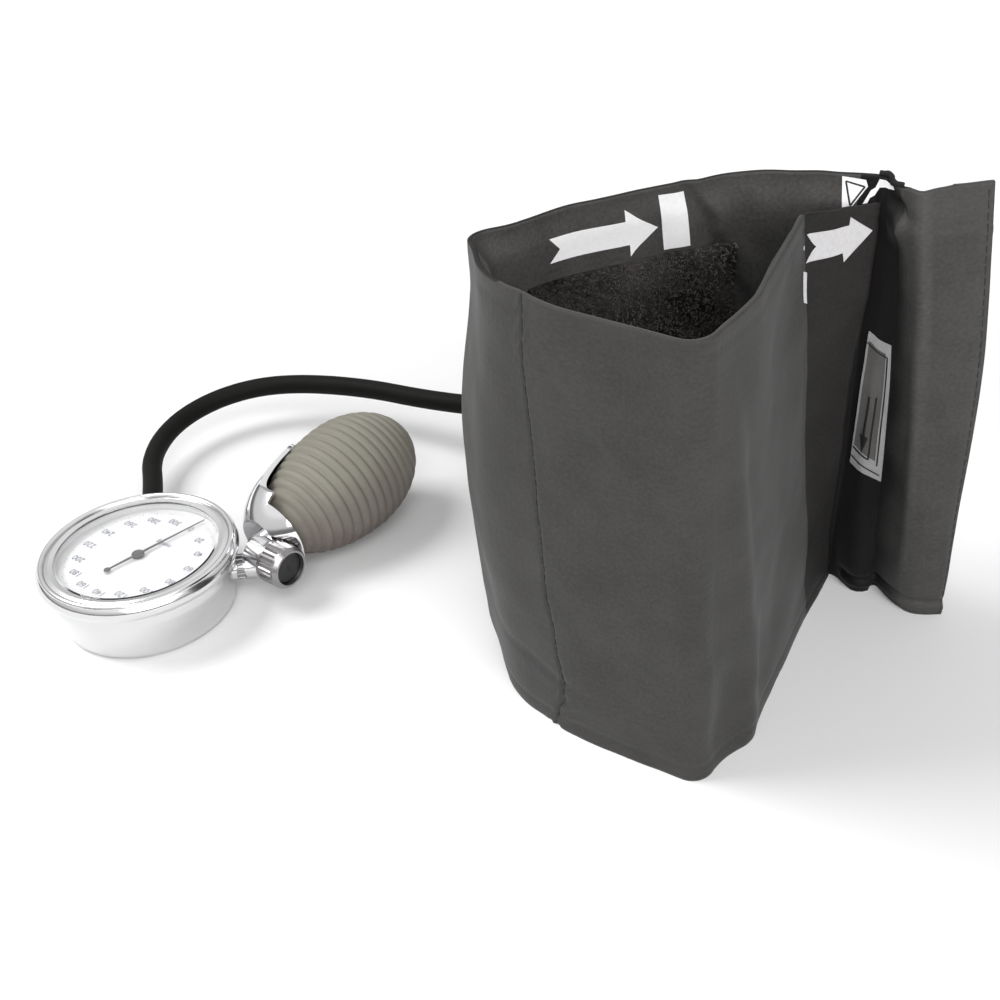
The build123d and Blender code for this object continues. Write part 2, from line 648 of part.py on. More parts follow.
# Needle: guided in the barrel, it slides out as the knob's screw turns back
with BuildPart() as needle:
    with BuildSketch(BARREL_SECTION):
        with BuildLine():
            Polyline((-1.6, 0), (-1.6, 0.25), (-0.6, 0.95), (-0.6, NEEDLE_BORE - FIT), (2.4, NEEDLE_BORE - FIT),
                     (2.4, 0), close=True)
        make_face()
    revolve(axis=BARREL_AXIS)
write(needle, "valve_needle")

SCREW_SHANK_R = 1.9
SCREW_LENGTH = 8.5
with BuildPart() as knob_screw:
    with BuildSketch(BARREL_SECTION):
        with BuildLine():
            Polyline((2.7, 0), (2.7, SCREW_BORE - 0.08), (KNOB_BACK, SCREW_BORE - 0.08), (KNOB_BACK, SCREW_SHANK_R),
                     (SCREW_LENGTH, SCREW_SHANK_R), (SCREW_LENGTH, 0), close=True)
        make_face()
    revolve(axis=BARREL_AXIS)
write(knob_screw, "knob_screw")

with BuildPart() as valve_seal:
    with BuildSketch(BARREL_SECTION):
        axial_profile(SCREW_BORE + 0.2, SCREW_BORE + 1.0, BARREL_FRONT, BARREL_FRONT + 0.8)
    revolve(axis=BARREL_AXIS)
write(valve_seal, "valve_seal")

# Knob: fluted barrel between two plain rims, with a dished end that holds the insert
DISH_R = 5.2
DISH_DEPTH = 2.4
INSERT_T = 0.9
with BuildPart() as knob:
    with BuildSketch(BARREL_SECTION):
        with BuildLine():
            Polyline(
                (KNOB_BACK, SCREW_SHANK_R),
                (KNOB_BACK, KNOB_R - 1.6),
                (KNOB_BACK + 1.0, KNOB_R),
                (KNOB_FRONT - 1.2, KNOB_R),
                (KNOB_FRONT, KNOB_R - 0.9),
                (KNOB_FRONT, DISH_R + 0.5),
                (KNOB_FRONT - DISH_DEPTH, DISH_R),
                (KNOB_FRONT - DISH_DEPTH, 0),
                (SCREW_LENGTH, 0),
                (SCREW_LENGTH, SCREW_SHANK_R),
                close=True,
            )
        make_face()
    revolve(axis=BARREL_AXIS)
    with BuildSketch(barrel_face(KNOB_BACK + 1.8)):
        with PolarLocations(KNOB_R, KNOB_FLUTES):
            Rectangle(0.7, 0.7, rotation=45)
    extrude(amount=KNOB_FRONT - KNOB_BACK - 4.0, mode=Mode.SUBTRACT)
write(knob, "release_knob")

with BuildPart() as knob_insert:
    with BuildSketch(BARREL_SECTION):
        with BuildLine():
            insert_back = KNOB_FRONT - DISH_DEPTH
            Polyline((insert_back, 0), (insert_back, DISH_R - FIT), (insert_back + INSERT_T, DISH_R - FIT),
                     (insert_back + INSERT_T, DISH_R - 1.2), (insert_back + INSERT_T * 0.4, 0), close=True)
        make_face()
    revolve(axis=BARREL_AXIS)
write(knob_insert, "knob_insert")

# Spoon: a flared shell clamped on the stub, short beside the knob and long on the far side
SPOON_OFFSET = 2.5  # its axis starts this far from the bulb's, away from the knob
SPOON_JOIN = 42.0  # where the two axes meet
SPOON_WALL = 1.1
PLATE_FACE = SHOULDER_END + 0.03
SPOON_ROOT, SPOON_CURVE, SPOON_WAIST, SPOON_RIM = (3.6, 9.0), (8.6, 13.7), (17.0, 17.6), (44.0, 22.1)
SPOON_LEAN = 0.4  # the inner side starts this much further along
SPOON_SHORT = 9.0  # reach on the knob's side
BLADE_LOW, BLADE_HIGH, BLADE_END = -12.5, 15.5, 43.0
spoon_start = VALVE - ACROSS * SPOON_OFFSET
spoon_line = VALVE + ALONG * SPOON_JOIN - spoon_start
SPOON_AXIS = Axis(spoon_start, spoon_line)
SPOON_SECTION = Plane(
    origin=spoon_start, x_dir=spoon_line, z_dir=spoon_line.cross(HANDLE.y_dir)
)
with BuildPart() as spoon:
    with BuildSketch(SPOON_SECTION):
        with BuildLine():
            ends = []
            for lean, wall in ((0.0, 0.0), (SPOON_LEAN, SPOON_WALL)):
                root, curve, waist, rim = (
                    (x + lean, radius - wall) for x, radius in (SPOON_ROOT, SPOON_CURVE, SPOON_WAIST, SPOON_RIM)
                )
                flare = ThreePointArc(root, curve, waist)
                side = TangentArc(waist, rim, tangent=flare % 1)
                ends.append((flare @ 0, side @ 1))
            Line(ends[0][0], ends[1][0])
            Line(ends[0][1], ends[1][1])
        make_face()
    revolve(axis=SPOON_AXIS)
    with BuildSketch(bulb_face(PLATE_FACE)):
        with Locations((-SPOON_OFFSET * (1 - PLATE_FACE / SPOON_JOIN), 0)):
            Circle(8.9)
    extrude(amount=SPOON_WALL)
    with BuildSketch(HANDLE, mode=Mode.PRIVATE) as blade_outline:
        with BuildLine():
            Polyline((-2, -22), (SPOON_SHORT, -22), (SPOON_SHORT + 1, -16), (SPOON_SHORT + 7, BLADE_LOW),
                     (BLADE_END - 12, BLADE_LOW))
            ThreePointArc((BLADE_END - 12, BLADE_LOW), (BLADE_END, (BLADE_LOW + BLADE_HIGH) / 2),
                          (BLADE_END - 10, BLADE_HIGH))
            Polyline((BLADE_END - 10, BLADE_HIGH), (SPOON_SHORT + 5, BLADE_HIGH - 0.5), (SPOON_SHORT, 17),
                     (-2, 20), (-2, -22))
        make_face()
    blade = extrude(blade_outline.sketch, amount=-30, mode=Mode.PRIVATE)
    with BuildSketch(HANDLE, mode=Mode.PRIVATE) as short_outline:
        with Locations((SPOON_SHORT / 2 - 1, 0)):
            Rectangle(SPOON_SHORT + 2, 50)
    short = extrude(short_outline.sketch, amount=30, both=True, mode=Mode.PRIVATE)
    add(blade + short, mode=Mode.INTERSECT)
    with BuildSketch(barrel_face(BARREL_FRONT + 0.6)):
        Circle(KNOB_R + 0.9)
    extrude(amount=30, mode=Mode.SUBTRACT)
    with BuildSketch(bulb_face(-2)):
        Circle(STUB_R + FIT)
    extrude(amount=12, mode=Mode.SUBTRACT)
    with BuildSketch(barrel_face(-BARREL_BACK - 0.5)):
        Circle(BARREL_R + FIT)
    extrude(amount=BARREL_BACK + BARREL_FRONT + 2, mode=Mode.SUBTRACT)
write(spoon, "spoon")

with BuildPart() as spoon_nut:
    with BuildSketch(bulb_face(PLATE_FACE + SPOON_WALL + 0.03)):
        Circle(SHOULDER_R)
        Circle(STUB_R + FIT, mode=Mode.SUBTRACT)
        with PolarLocations(SHOULDER_R, 4):
            Rectangle(1.0, 1.2, mode=Mode.SUBTRACT)
    extrude(amount=2.1)
write(spoon_nut, "spoon_nut")


def bulb_radius(station: float) -> float:
    """Radius of the bulb's smooth form at a station along its axis."""
    half = BULB_FULL - BULB_NEAR if station < BULB_FULL else BULB_FAR - BULB_FULL
    return BULB_R * sqrt(max(0.0, 1 - ((station - BULB_FULL) / half) ** 2))


# Bulb: an egg with moulded rings, a mouth on the spigot and a hole for the inlet valve
MOUTH = 8.6
RIBS_FROM, RIBS_TO = 14.0, 67.5
INLET_R = 3.4
INLET_FROM, INLET_TO = 67.0, 73.2
with BuildPart() as bulb:
    with BuildSketch(HANDLE):
        with BuildLine():
            rib_step = (RIBS_TO - RIBS_FROM) / BULB_RIBS
            outside = [(MOUTH, SPIGOT_R + FIT), (MOUTH, 5.4), (MOUTH + 1.2, 6.6), (12.0, bulb_radius(12.0))]
            for index in range(BULB_RIBS):
                start = RIBS_FROM + rib_step * index
                groove = start + rib_step * 0.16
                crest = start + rib_step * 0.5
                shoulder = start + rib_step * 0.84
                outside.append((groove, bulb_radius(groove) - RIB_DEPTH))
                outside.append((crest, bulb_radius(crest)))
                outside.append((shoulder, bulb_radius(shoulder) - RIB_DEPTH * 0.45))
            outside += [(70.2, bulb_radius(70.2)), (71.8, 5.4), (71.8, INLET_R + FIT)]
            hollow = [(69.0, INLET_R + FIT)]
            for station in (66.5, 62.0, 56.0, 48.0, 40.0, 32.0, 24.0, 18.0, 14.5):
                hollow.append((station, bulb_radius(station) - BULB_WALL))
            hollow += [(12.6, SPIGOT_R + FIT + 1.2), (12.6, SPIGOT_R + FIT)]
            Polyline(*outside, *hollow, close=True)
        make_face()
    revolve(axis=BULB_AXIS)
write(bulb, "bulb")

# Outlet check valve in the spigot
DISC_R = 1.95
with BuildPart() as outlet_disc:
    with BuildSketch(bulb_face(11.3)):
        Circle(DISC_R)
    extrude(amount=0.6)
write(outlet_disc, "outlet_valve_disc")

with BuildPart() as outlet_retainer:
    with BuildSketch(bulb_face(12.0)):
        Circle(CHAMBER_R - 0.01)
        Circle(0.9, mode=Mode.SUBTRACT)
    extrude(amount=1.4)
write(outlet_retainer, "outlet_valve_retainer")

# Inlet check valve at the bulb's far end
with BuildPart() as inlet_housing:
    with BuildSketch(HANDLE):
        with BuildLine():
            Polyline((INLET_FROM, 2.5), (INLET_FROM, INLET_R), (71.85, INLET_R), (71.85, 4.6), (72.6, 4.6),
                     (INLET_TO, 3.8), (INLET_TO, 0.9), (71.2, 0.9), (71.2, 2.5), close=True)
        make_face()
    revolve(axis=BULB_AXIS)
write(inlet_housing, "inlet_valve_housing")

with BuildPart() as inlet_disc:
    with BuildSketch(bulb_face(70.5)):
        Circle(DISC_R)
    extrude(amount=0.65)
write(inlet_disc, "inlet_valve_disc")

with BuildPart() as inlet_retainer:
    with BuildSketch(bulb_face(68.0)):
        Circle(2.49)
        Circle(1.2, mode=Mode.SUBTRACT)
    extrude(amount=1.4)
write(inlet_retainer, "inlet_valve_retainer")

# Cuff guide line: the outer face, from the end tucked in at the fold, round to the tail's fold
CUFF_LEVELS = (0.0, 30.0, 85.0, 140.0)
CUFF_ROWS = (
    ((114.0, 1.5), (101.5, -17.5), (78.0, -60.0), (58.0, -84.0), (26.0, -60.0), (8.9, -39.0), (4.0, -5.0),
     (48.0, 3.0), (88.0, 9.5), (113.5, 8.5)),
    ((114.2, -1.9), (100.0, -18.8), (77.0, -62.0), (58.0, -84.6), (26.2, -60.6), (7.2, -39.8), (0.9, -5.8),
     (48.4, 2.9), (87.8, 9.3), (114.14, 5.5)),
    ((114.6, -8.2), (97.3, -21.0), (75.5, -64.5), (58.0, -85.8), (26.6, -61.8), (7.0, -40.6), (1.0, -6.9),
     (49.2, 2.7), (87.4, 8.9), (115.32, 0.0)),
    ((115.0, -14.5), (95.0, -23.0), (74.0, -67.0), (58.0, -87.0), (27.0, -63.0), (11.0, -41.0), (8.0, -8.0),
     (50.0, 2.5), (87.0, 8.5), (116.5, -5.5)),
)
CUFF_RADII = (8.0, 40.0, 7.0, 60.0, 34.0, 9.0, 120.0, 30.0)
TAIL_LEVELS = (0.0, 85.0, 140.0)
TAIL_ROWS = (
    ((117.0, 6.0), (126.0, -3.0), (133.0, -16.0), (143.0, -21.0)),
    ((118.52, -3.11), (125.4, -9.1), (133.6, -15.7), (147.4, -19.2)),
    ((119.5, -9.0), (125.0, -13.0), (134.0, -15.5), (144.8, -17.5)),
)
TAIL_RADII = (12.0, 12.0)
TAIL_T = 3.0
LAYER_GAP = 0.35  # between layers, which are ruled and not quite parallel


def at_height(levels: tuple, rows: tuple, height: float) -> list[Vector]:
    """Corners of a guide line at a height, between the rows that are given."""
    upper = max(1, next(i for i, level in enumerate(levels) if level >= height))
    share = (height - levels[upper - 1]) / (levels[upper] - levels[upper - 1])
    return [Vector(*low) + (Vector(*high) - Vector(*low)) * share for low, high in zip(rows[upper - 1], rows[upper])]


def heights_between(levels: tuple, low: float, high: float) -> list[float]:
    """Heights of a loft's sections: its two ends and the levels between them."""
    return [low, *[level for level in levels if low < level < high], high]


def stretch(corners: list[Vector], radii: tuple, first: float, last: float) -> tuple[list[Vector], list[float]]:
    """Cuts a guide line down to the part between two stations, counted in corners."""
    between = range(int(first) + 1, ceil(last))
    ends = []
    for station in (first, last):
        index = min(int(station), len(corners) - 2)
        ends.append(corners[index] + (corners[index + 1] - corners[index]) * (station - index))
    return [ends[0], *[corners[i] for i in between], ends[1]], [radii[i - 1] for i in between]


def inset(corners: list[Vector], radii: list[float], depth: float) -> tuple[list[Vector], list[float]]:
    """Moves a guide line to its right by a depth, and matches the corner radii."""
    runs = [(b - a).normalized() for a, b in zip(corners, corners[1:])]
    sides = [Vector(run.Y, -run.X) for run in runs]
    moved = [corners[0] + sides[0] * depth]
    matched = []
    for index, radius in enumerate(radii):
        here, after = sides[index], sides[index + 1]
        moved.append(corners[index + 1] + (here + after) * (depth / (1 + here.dot(after))))
        right_turn = runs[index].X * runs[index + 1].Y < runs[index].Y * runs[index + 1].X
        matched.append(radius - depth if right_turn else radius + depth)
    moved.append(corners[-1] + sides[-1] * depth)
    return moved, matched


def layer(corners: list[Vector], radii: list[float], near: float, far: float, rounded: bool) -> None:
    """Adds a strip between two depths beside a guide line to the sketch, with a plain or round start."""
    with BuildLine() as outline:
        outer_corners, outer_radii = inset(corners, radii, near)
        inner_corners, inner_radii = inset(corners, radii, far)
        if radii:
            outer = FilletPolyline(*outer_corners, radius=outer_radii)
            inner = FilletPolyline(*inner_corners, radius=inner_radii)
        else:
            outer = Polyline(*outer_corners)
            inner = Polyline(*inner_corners)
        if rounded:
            backwards = (corners[0] - corners[1]).normalized() * ((far - near) / 2)
            ThreePointArc(outer @ 0, corners[0] + backwards, inner @ 0)
        else:
            Line(outer @ 0, inner @ 0)
        Line(outer @ 1, inner @ 1)
    make_face(outline.edges())


def standing(near: float, far: float, low: float, high: float, first: float = 0, last: float = 9) -> None:
    """Lofts one layer of the cuff between two heights and two stations of its guide line."""
    sections = []
    for height in heights_between(CUFF_LEVELS, low, high):
        with BuildSketch(Plane.XY.offset(height)) as section:
            corners, radii = stretch(at_height(CUFF_LEVELS, CUFF_ROWS, height), CUFF_RADII, first, last)
            layer(corners, radii, near, far, False)
        sections.append(section.sketch)
    loft(sections, ruled=True)


# Port of the bladder: on the back wall, near its foot
PORT_HEIGHT = 36.0
PORT_STATION = 7.56
PORT_COLLAR = 8.8  # from the cover's outer face to the collar that the hose meets
wall = at_height(CUFF_LEVELS, CUFF_ROWS, PORT_HEIGHT)
wall_run = (wall[8] - wall[7]).normalized()
PORT_OUT = Vector(-wall_run.Y, wall_run.X, 0)
PORT_ON_WALL = wall[7] + (wall[8] - wall[7]) * (PORT_STATION - 7) + Vector(0, 0, PORT_HEIGHT)
PORT_AXIS = Axis(PORT_ON_WALL, PORT_OUT)
PORT_SECTION = Plane(origin=PORT_ON_WALL, x_dir=PORT_OUT, z_dir=PORT_OUT.cross(Vector(0, 0, 1)))
GROMMET_BORE = 3.1
GROMMET_SLEEVE = 3.9


def port_level(distance: float) -> Plane:
    """Plane parallel to the wall at the port, at a distance outside its face."""
    return Plane(origin=PORT_ON_WALL + PORT_OUT * distance, z_dir=PORT_OUT)


with BuildPart() as cuff_cover:
    standing(0, COVER_T, 0, CUFF_H)
    with BuildSketch(port_level(-3)):
        Circle(GROMMET_SLEEVE + FIT)
    extrude(amount=6, mode=Mode.SUBTRACT)
write(cuff_cover, "cuff_cover")

FLANGE_R = 8.0
FLANGE_T = 0.9
BLADDER_NEAR = COVER_T + LAYER_GAP
BLADDER_FAR = BLADDER_NEAR + BLADDER_T
with BuildPart() as bladder:
    standing(BLADDER_NEAR, BLADDER_FAR, 8, CUFF_H - 8, 2.35, 7.9)
    with BuildSketch(port_level(-BLADDER_NEAR - FLANGE_T - FIT)):
        Circle(FLANGE_R + FIT)
    extrude(amount=3, mode=Mode.SUBTRACT)
write(bladder, "bladder")

LINING_NEAR = BLADDER_FAR + LAYER_GAP
LINING_FAR = LINING_NEAR + LINING_T
with BuildPart() as cuff_lining:
    standing(LINING_NEAR, LINING_FAR, 1, CUFF_H - 1, 0.75, 9)
write(cuff_lining, "cuff_lining")

PILE_NEAR = LINING_FAR + 2 * LAYER_GAP
with BuildPart() as pile_patch:
    standing(PILE_NEAR, PILE_NEAR + PILE_T, 24, 116, 6.4, 7.95)
write(pile_patch, "pile_patch")

HOOK_T = 1.4
with BuildPart() as hook_tape:
    standing(COVER_T + LAYER_GAP, COVER_T + LAYER_GAP + HOOK_T, 6, CUFF_H - 6, 0.1, 0.6)
write(hook_tape, "hook_tape")

with BuildPart() as cuff_tail:
    tail_sections = []
    for height in TAIL_LEVELS:
        with BuildSketch(Plane.XY.offset(height)) as tail_section:
            layer(at_height(TAIL_LEVELS, TAIL_ROWS, height), TAIL_RADII, -TAIL_T / 2, TAIL_T / 2, True)
        tail_sections.append(tail_section.sketch)
    loft(tail_sections, ruled=True)
write(cuff_tail, "cuff_tail")

LABEL_T = 0.4
LABEL_GAP = 0.15
LABEL_FROM, LABEL_TO = 45.0, 95.0
with BuildPart() as tail_label:
    label_sections = []
    for height in heights_between(TAIL_LEVELS, LABEL_FROM, LABEL_TO):
        with BuildSketch(Plane.XY.offset(height)) as label_section:
            corners, radii = stretch(at_height(TAIL_LEVELS, TAIL_ROWS, height), TAIL_RADII, 0.3, 0.93)
            layer(corners, radii, TAIL_T / 2 + LABEL_GAP, TAIL_T / 2 + LABEL_GAP + LABEL_T, False)
        label_sections.append(label_section.sketch)
    loft(label_sections, ruled=True)
write(tail_label, "tail_label")

# Bladder's port: a flange inside the cover, a collar outside it and a barbed tube in the hose
with BuildPart() as bladder_port:
    with BuildSketch(PORT_SECTION):
        with BuildLine():
            flange = -BLADDER_NEAR
            Polyline((flange - FLANGE_T, 1.2), (flange - FLANGE_T, FLANGE_R), (flange, FLANGE_R), (flange, 3.0),
                     (PORT_COLLAR - 2.2, 3.0), (PORT_COLLAR - 2.2, 4.1), (PORT_COLLAR, 4.1), (PORT_COLLAR, 1.9),
                     (PORT_COLLAR + 3.0, 1.9), (PORT_COLLAR + 3.0, 2.25), (PORT_COLLAR + 6.0, 1.85),
                     (PORT_COLLAR + 6.0, 2.25), (PORT_COLLAR + 8.4, 1.8), (PORT_COLLAR + 8.4, 1.2), close=True)
        make_face()
    revolve(axis=PORT_AXIS)
write(bladder_port, "bladder_port")

with BuildPart() as port_grommet:
    with BuildSketch(PORT_SECTION):
        with BuildLine():
            Polyline((-COVER_T, GROMMET_BORE), (-COVER_T, GROMMET_SLEEVE), (0.05, GROMMET_SLEEVE), (0.05, 6.6),
                     (0.7, 6.6), (1.5, 5.4), (1.5, GROMMET_BORE), close=True)
        make_face()
    revolve(axis=PORT_AXIS)
write(port_grommet, "port_grommet")

# Hose: from the nipple, in one loose bend behind the bulb, to the port on the cuff's back wall
hose_exit = GAUGE_CENTRE + heading(HOSE_AZ) * HOSE_START + Vector(0, 0, PORT_Z)
hose_arrival = PORT_ON_WALL + PORT_OUT * PORT_COLLAR
HOSE_ROUTE = [
    hose_exit,
    hose_exit + heading(HOSE_AZ) * 23,
    Vector(-120.5, 102.7, 12.5),
    Vector(-113.6, 123.3, 14.5),
    Vector(-96.5, 137.0, 16.5),
    Vector(-73.2, 140.4, 18.0),
    Vector(-40.4, 128.0, 19.5),
    Vector(-11.0, 107.6, 21.0),
    Vector(15.4, 91.7, 24.0),
    Vector(41.0, 76.0, 29.0),
    Vector(60.0, 55.0, 33.5),
    hose_arrival + PORT_OUT * 19,
    hose_arrival,
]


def hose_radii(route: list[Vector]) -> list[float]:
    """The largest arc that each corner's two runs allow."""
    radii = []
    for before, here, after in zip(route, route[1:], route[2:]):
        turn = radians((here - before).get_angle(after - here))
        shorter = min((here - before).length, (after - here).length)
        radii.append(0.45 * shorter / tan(turn / 2))
    return radii


bends = hose_radii(HOSE_ROUTE)
print("hose radii", [round(bend) for bend in bends])
with BuildPart() as hose:
    with BuildLine() as hose_line:
        FilletPolyline(*HOSE_ROUTE, radius=bends)
    with BuildSketch(Plane(origin=hose_line.line @ 0, z_dir=hose_line.line % 0)):
        Circle(HOSE_D / 2)
        Circle(HOSE_BORE / 2, mode=Mode.SUBTRACT)
    sweep()
hose_length = hose_line.wires()[0].length
print("hose length", round(hose_length, 1), "volume", round(hose.part.volume), "section times length",
      round(pi / 4 * (HOSE_D**2 - HOSE_BORE**2) * hose_length))
write(hose, "hose")
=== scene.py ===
"""Looks of a palm aneroid sphygmomanometer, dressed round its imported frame.

The gauge and the handset keep their solids and take metal, glass and print. The bulb, the hose and
the cuff are modelled here. Lengths are in metres, but the cuff's are in millimetres until a point
is made. A station is a place along the cuff's sheet, counted in corners of its guide line.
"""

from __future__ import annotations

import logging
import math
from dataclasses import dataclass, field, replace
from enum import Enum
from typing import Iterator, Sequence

import bmesh
import bpy
from mathutils import Matrix, Vector, noise

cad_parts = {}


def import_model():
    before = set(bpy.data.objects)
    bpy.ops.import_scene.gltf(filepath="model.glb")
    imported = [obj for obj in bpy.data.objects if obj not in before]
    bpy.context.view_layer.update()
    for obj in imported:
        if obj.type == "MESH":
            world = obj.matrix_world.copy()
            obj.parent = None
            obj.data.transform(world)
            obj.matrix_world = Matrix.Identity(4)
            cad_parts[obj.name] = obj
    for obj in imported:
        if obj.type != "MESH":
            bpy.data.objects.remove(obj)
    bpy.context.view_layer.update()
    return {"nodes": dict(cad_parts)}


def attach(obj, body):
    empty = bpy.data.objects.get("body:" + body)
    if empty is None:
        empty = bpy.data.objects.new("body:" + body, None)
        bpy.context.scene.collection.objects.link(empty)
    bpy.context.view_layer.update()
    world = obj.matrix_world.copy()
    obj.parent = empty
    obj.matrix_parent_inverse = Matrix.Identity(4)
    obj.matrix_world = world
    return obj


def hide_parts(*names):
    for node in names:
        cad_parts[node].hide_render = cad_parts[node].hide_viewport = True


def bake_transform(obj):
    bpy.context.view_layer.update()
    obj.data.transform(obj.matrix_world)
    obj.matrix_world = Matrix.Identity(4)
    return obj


LOG = logging.getLogger("sphygmomanometer")
MM = 0.001
WHITE = (1.0, 1.0, 1.0, 1.0)
Pair = tuple[float, float]
Table = tuple[Pair, ...]
Colour = tuple[float, float, float]
Mesh = bpy.types.Mesh
Object = bpy.types.Object
Material = bpy.types.Material
Socket = bpy.types.NodeSocket
Inputs = dict[str | int, object]
Outputs = bpy.types.bpy_prop_collection
Grid = list[list[bmesh.types.BMVert]]


def heading(azimuth: float, rise: float = 0.0) -> Vector:
    """Unit vector along an azimuth from +X and a rise above the table, both in degrees."""
    turn, lift = math.radians(azimuth), math.radians(rise)
    return Vector((math.cos(turn) * math.cos(lift), math.sin(turn) * math.cos(lift), math.sin(lift)))


def smooth(low: float, high: float, value: float) -> float:
    """Blends from 0 at one value to 1 at another, with no corner."""
    share = min(1.0, max(0.0, (value - low) / (high - low)))
    return share * share * (3 - 2 * share)


def bump_at(centre: float, width: float, value: float) -> float:
    """A round bump of height 1 that falls away on both sides of a centre."""
    return math.exp(-((value - centre) / width) ** 2)


def table_value(table: Table, place: float) -> float:
    """Reads a table of rising places and their values, easing between its entries.

    Args:
        table: Places in rising order, each with its value.
        place: The place asked about.

    Returns:
        The value there.
    """
    for (low, first), (high, last) in zip(table, table[1:]):
        if place <= high:
            return first + (last - first) * smooth(low, high, place)
    return table[-1][1]


def toned(colour: Colour, factor: float) -> Colour:
    """A colour made darker or lighter by a factor."""
    return tuple(channel * factor for channel in colour)


class Nodes:
    """Writes nodes into a material, a world or a geometry tree.

    Inputs go by name or place, each with a socket to link or a value to set.
    """

    def __init__(self, tree: bpy.types.NodeTree) -> None:
        """Takes the tree to write into."""
        self.tree = tree

    def fill(self, node: bpy.types.Node, inputs: Inputs) -> None:
        """Sets or links a node's inputs."""
        for label, value in inputs.items():
            if isinstance(value, Socket):
                self.tree.links.new(value, node.inputs[label])
            else:
                node.inputs[label].default_value = value

    def add(self, kind: str, inputs: Inputs | None = None, **settings: object) -> Outputs:
        """Adds a node of one of Blender's types.

        Args:
            kind: The node's type.
            inputs: Its inputs.
            settings: Its properties.

        Returns:
            Its outputs, by name or place.
        """
        node = self.tree.nodes.new(kind)
        for label, value in settings.items():
            setattr(node, label, value)
        self.fill(node, inputs or {})
        return node.outputs

    def math(self, kind: str, *values: Socket | float) -> Socket:
        """Joins sockets and numbers by one of Blender's operations."""
        return self.add("ShaderNodeMath", dict(enumerate(values)), operation=kind)[0]

    def rise(self, vector: Socket) -> Socket:
        """The Z part of a vector."""
        return self.add("ShaderNodeSeparateXYZ", {0: vector})["Z"]

    def span(self, value: Socket, source: Pair = (0.0, 1.0), target: Pair = (0.0, 1.0)) -> Socket:
        """Maps a value from one range onto another."""
        ends = {"From Min": source[0], "From Max": source[1], "To Min": target[0], "To Max": target[1]}
        return self.add("ShaderNodeMapRange", {"Value": value, **ends})["Result"]

    def ramp(self, value: Socket, *stops: tuple[float, Colour]) -> Socket:
        """Colours a value.

        Args:
            value: The factor.
            stops: Places from 0 to 1 and the colour at each.

        Returns:
            The colour.
        """
        node = self.tree.nodes.new("ShaderNodeValToRGB")
        while len(node.color_ramp.elements) < len(stops):
            node.color_ramp.elements.new(0.5)
        for element, (position, colour) in zip(node.color_ramp.elements, stops):
            element.position = position
            element.color = (*colour, 1.0)
        self.fill(node, {"Fac": value})
        return node.outputs["Color"]

    def show(self, surface: Socket, output: str = "Material Output") -> None:
        """Ends the tree in a shader."""
        self.fill(self.tree.nodes[output], {"Surface": surface})


class Shader(Nodes):
    """Writes one node material round its Principled shader."""

    def __init__(self, name: str) -> None:
        """Starts a material."""
        self.material = bpy.data.materials.new(name)
        self.material.use_nodes = True
        super().__init__(self.material.node_tree)
        self.surface = self.tree.nodes["Principled BSDF"]
        self.coordinates = self.add("ShaderNodeTexCoord")

    def feed(self, inputs: Inputs) -> None:
        """Sets or links inputs of the Principled shader."""
        self.fill(self.surface, inputs)

    def place(self, scale: Sequence[float] = (1, 1, 1), source: str = "Object") -> Socket:
        """The Object or UV coordinates, scaled on each axis."""
        values = {"Vector": self.coordinates[source], "Scale": scale}
        return self.add("ShaderNodeMapping", values)["Vector"]

    def noise(self, vector: Socket, scale: float, detail: float = 4.0, rough: float = 0.55) -> Socket:
        """Fractal noise of some cells in each metre, with its octaves and their strength."""
        values = {"Vector": vector, "Scale": scale, "Detail": detail, "Roughness": rough}
        return self.add("ShaderNodeTexNoise", values)["Fac"]

    def wave(self, vector: Socket, scale: float, axis: str) -> Socket:
        """Slightly wandering bands across the X, Y or Z axis."""
        values = {"Vector": vector, "Scale": scale, "Distortion": 0.6, "Detail Scale": 2.0}
        return self.add("ShaderNodeTexWave", values, bands_direction=axis)["Fac"]

    def tone(self, value: Socket, low: float, dark: Colour, light: Colour) -> Socket:
        """Colours a value, dark below a place and light from as far below 1."""
        return self.ramp(value, (low, dark), (1 - low, light))

    def rough(self, value: Socket, low: float, width: float) -> Socket:
        """Maps a value from 0 to 1 onto a range of roughness."""
        return self.span(value, target=(low, low + width))

    def relief(self, height: Socket, depth: float, strength: float) -> None:
        """Adds a bump to the surface, on top of any before it.

        Args:
            height: The height value, from 0 to 1.
            depth: Size of the relief.
            strength: Share of it that shows.
        """
        before = self.surface.inputs["Normal"]
        values = {"Height": height, "Distance": depth, "Strength": strength}
        if before.is_linked:
            values["Normal"] = before.links[0].from_socket
        self.feed({"Normal": self.add("ShaderNodeBump", values)["Normal"]})


@dataclass(frozen=True)
class Metal:
    """Plated or turned metal with fine handling marks."""

    name: str
    colour: Colour
    roughness: float = 0.07
    uneven: float = 0.05
    grain: float = 0.0

    def make(self) -> Material:
        """Builds the material."""
        shader = Shader(self.name)
        marks = shader.noise(shader.place(), scale=260, detail=6, rough=0.7)
        cloud = shader.noise(shader.place(), scale=45, detail=3)
        shader.feed({"Metallic": 1.0, "Roughness": shader.rough(marks, self.roughness, self.uneven),
                     "Base Color": shader.tone(cloud, 0.3, toned(self.colour, 0.93), self.colour)})
        shader.relief(marks, depth=0.00001, strength=0.25)
        if self.grain:
            fine = shader.noise(shader.place((1, 1, 14)), scale=900, detail=3)
            shader.relief(fine, self.grain, strength=0.4)
        return shader.material


